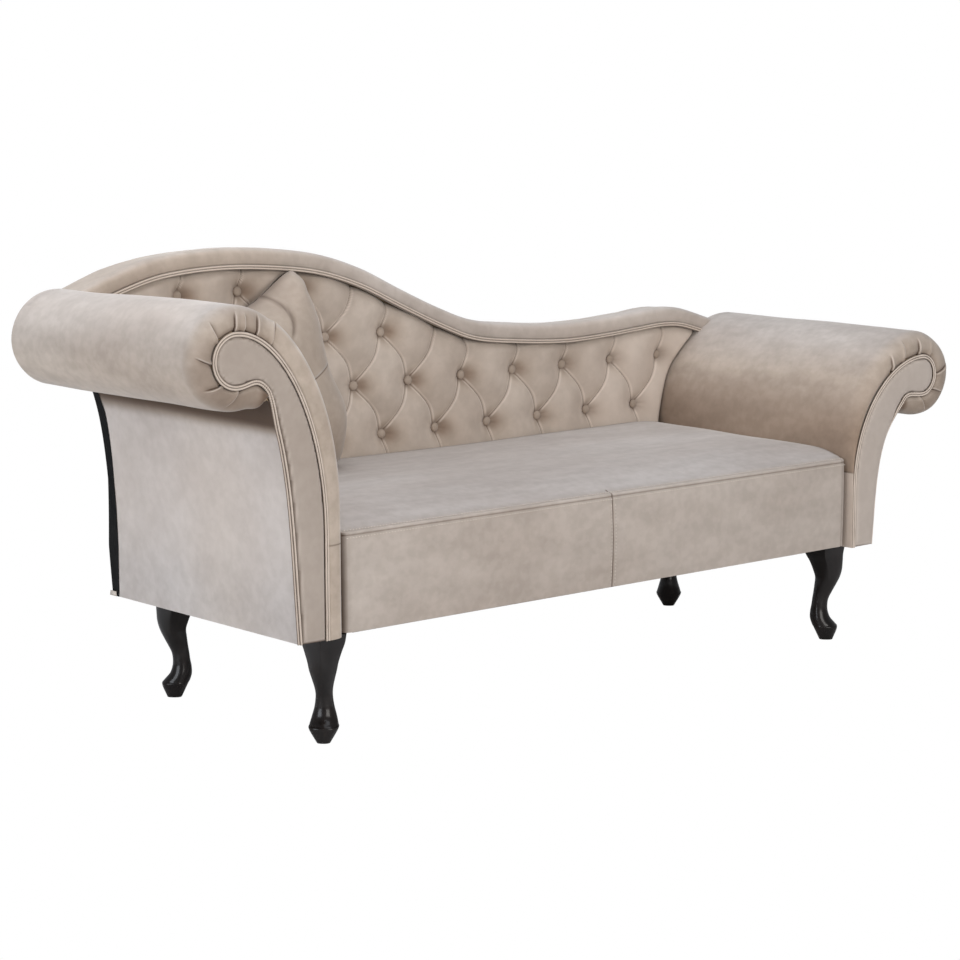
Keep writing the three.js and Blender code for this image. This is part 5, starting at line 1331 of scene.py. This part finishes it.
def end_cap(arm):
    """A slanting sheet from the throat up to the roll, turned in at the rear, and the roll's own
    section as one face above it."""
    end, hollow = arm["end"], throat(arm)
    low = np.array([hollow[0] - arm["end_throat"] + 2, hollow[1] - 8])
    high = np.array([abs(end) - HALF_SEAT + 1.5, float(wave(end)) - 8])
    slant = low + np.linspace(0, 1, CAP_ROWS)[:, None] * (high - low)
    sheet = arm_space(arm, slant[:, None, :] - np.stack([CAP_TUCK, 0 * CAP_TUCK], -1), CAP_DEPTHS)
    outline = np.stack([np.full(len(section), end + arm["side"] * 0.4), section[:, 0],
                        roll[0 if arm is LEFT else -1, :, 2]], -1)
    faces = [list(q) for q in grid_faces(CAP_ROWS, len(CAP_DEPTHS))]
    faces += [list(range(CAP_ROWS * len(CAP_DEPTHS), CAP_ROWS * len(CAP_DEPTHS) + len(section)))]
    return np.concatenate([sheet.reshape(-1, 3), outline]), faces


def end_lining(arm):
    """Black cloth in three stretches: on the arm's side, across to the back unit's end, and along it
    to the rear. On the high arm its front edge shows and is rounded off."""
    line = outer_line(arm, SIDE_ROWS)
    height = line[:, 1:2]
    share = (height - UNDERSIDE) / (throat(arm)[1] - UNDERSIDE)
    draw = arm["end_foot"] + share * (arm["end_throat"] - arm["end_foot"]) - 2.2
    first = np.interp(height, LINING_HEIGHTS, LINING_FRONTS) - 1.5
    last = np.interp(height, LINING_HEIGHTS, LINING_REARS)
    round_off = np.interp(height, LINING_HEIGHTS, LINING_ROUNDS) * (arm is LEFT)
    if arm is RIGHT:
        first, last = 0 * first + ARM_DEPTH - 0.5, 0 * last + ARM_DEPTH + 0.5
    across = np.linspace(0, 1, 8)[None, :]
    depth = np.concatenate([first + across * (last - first), last + 1.5 + 0 * across,
                            last + 2 + across * (BACK_REAR - last - 2)], axis=1)
    inset = np.concatenate([-1.3 + 0 * across + 0 * draw, -1.3 + across * (draw + 1.3),
                            draw + 0 * across], axis=1)
    late = np.clip((depth - ARM_DEPTH + round_off) / np.maximum(round_off, 0.1), 0, 1) * (inset < 0)
    inset = inset + round_off * (1 - np.sqrt(1 - late**2))
    grid = np.repeat(line[:, None, :], depth.shape[1], axis=1)
    grid[..., 0] += ripple(depth / 8, height / 25, 41, 1.0) * 0.5 - inset
    return arm_space(arm, grid, depth)


for arm in (LEFT, RIGHT):
    points, faces = end_cap(arm)
    add_piece(arm["name"].replace("arm", "end") + "_cap", points, faces, VELVET, turn=True)
    lining = grid_piece(arm["name"] + "_end_lining", end_lining(arm), LINING, slot="lining")
    print(lining.name, "from", round(UNDERSIDE), "to", round(throat(arm)[1]), "mm high")

# Depths and heights of the light tab's corners, at the foot of the high arm's lining.
TAB = np.array([(592.0, 206.5), (592.0, 216.0), (612.0, 216.0), (614.0, 206.5)])
TAB_THICK = 1.2
tab_out = HALF_SEAT + LEFT["pad"] + LEFT["face"] + 3.2
tab_points = [(-tab_out - lift, y, z) for lift in (0, TAB_THICK) for y, z in TAB]
tab_faces = [[0, 1, 2, 3], [7, 6, 5, 4]] + [[i, i + 4, (i + 1) % 4 + 4, (i + 1) % 4] for i in range(4)]
add_piece("left_end_tab", tab_points, tab_faces, THREAD, slot="lining", turn=True)

# %% [markdown]
# The floor is a plain pale sheet that the camera sees as white, so the couch stands on nothing but
# light, as in a cut-out picture. The floor could be left out, but then no pale light would come up
# under the seat.

# %% Floor
bpy.ops.mesh.primitive_plane_add(size=40, location=(0, 0, 0))
floor = bpy.context.object
floor.name = "floor"
material, tree, shader = new_material("pale_floor")
shader.inputs["Base Color"].default_value = (0.82, 0.82, 0.82, 1)
shader.inputs["Roughness"].default_value = 0.6
white = tree.nodes.new("ShaderNodeEmission")
white.inputs["Color"].default_value = (1, 1, 1, 1)
white_to_camera(tree, shader, white, next(n for n in tree.nodes if n.type == "OUTPUT_MATERIAL"))
floor.data.materials.append(material)
print("floor", [round(side) for side in floor.dimensions[:2]], "m")
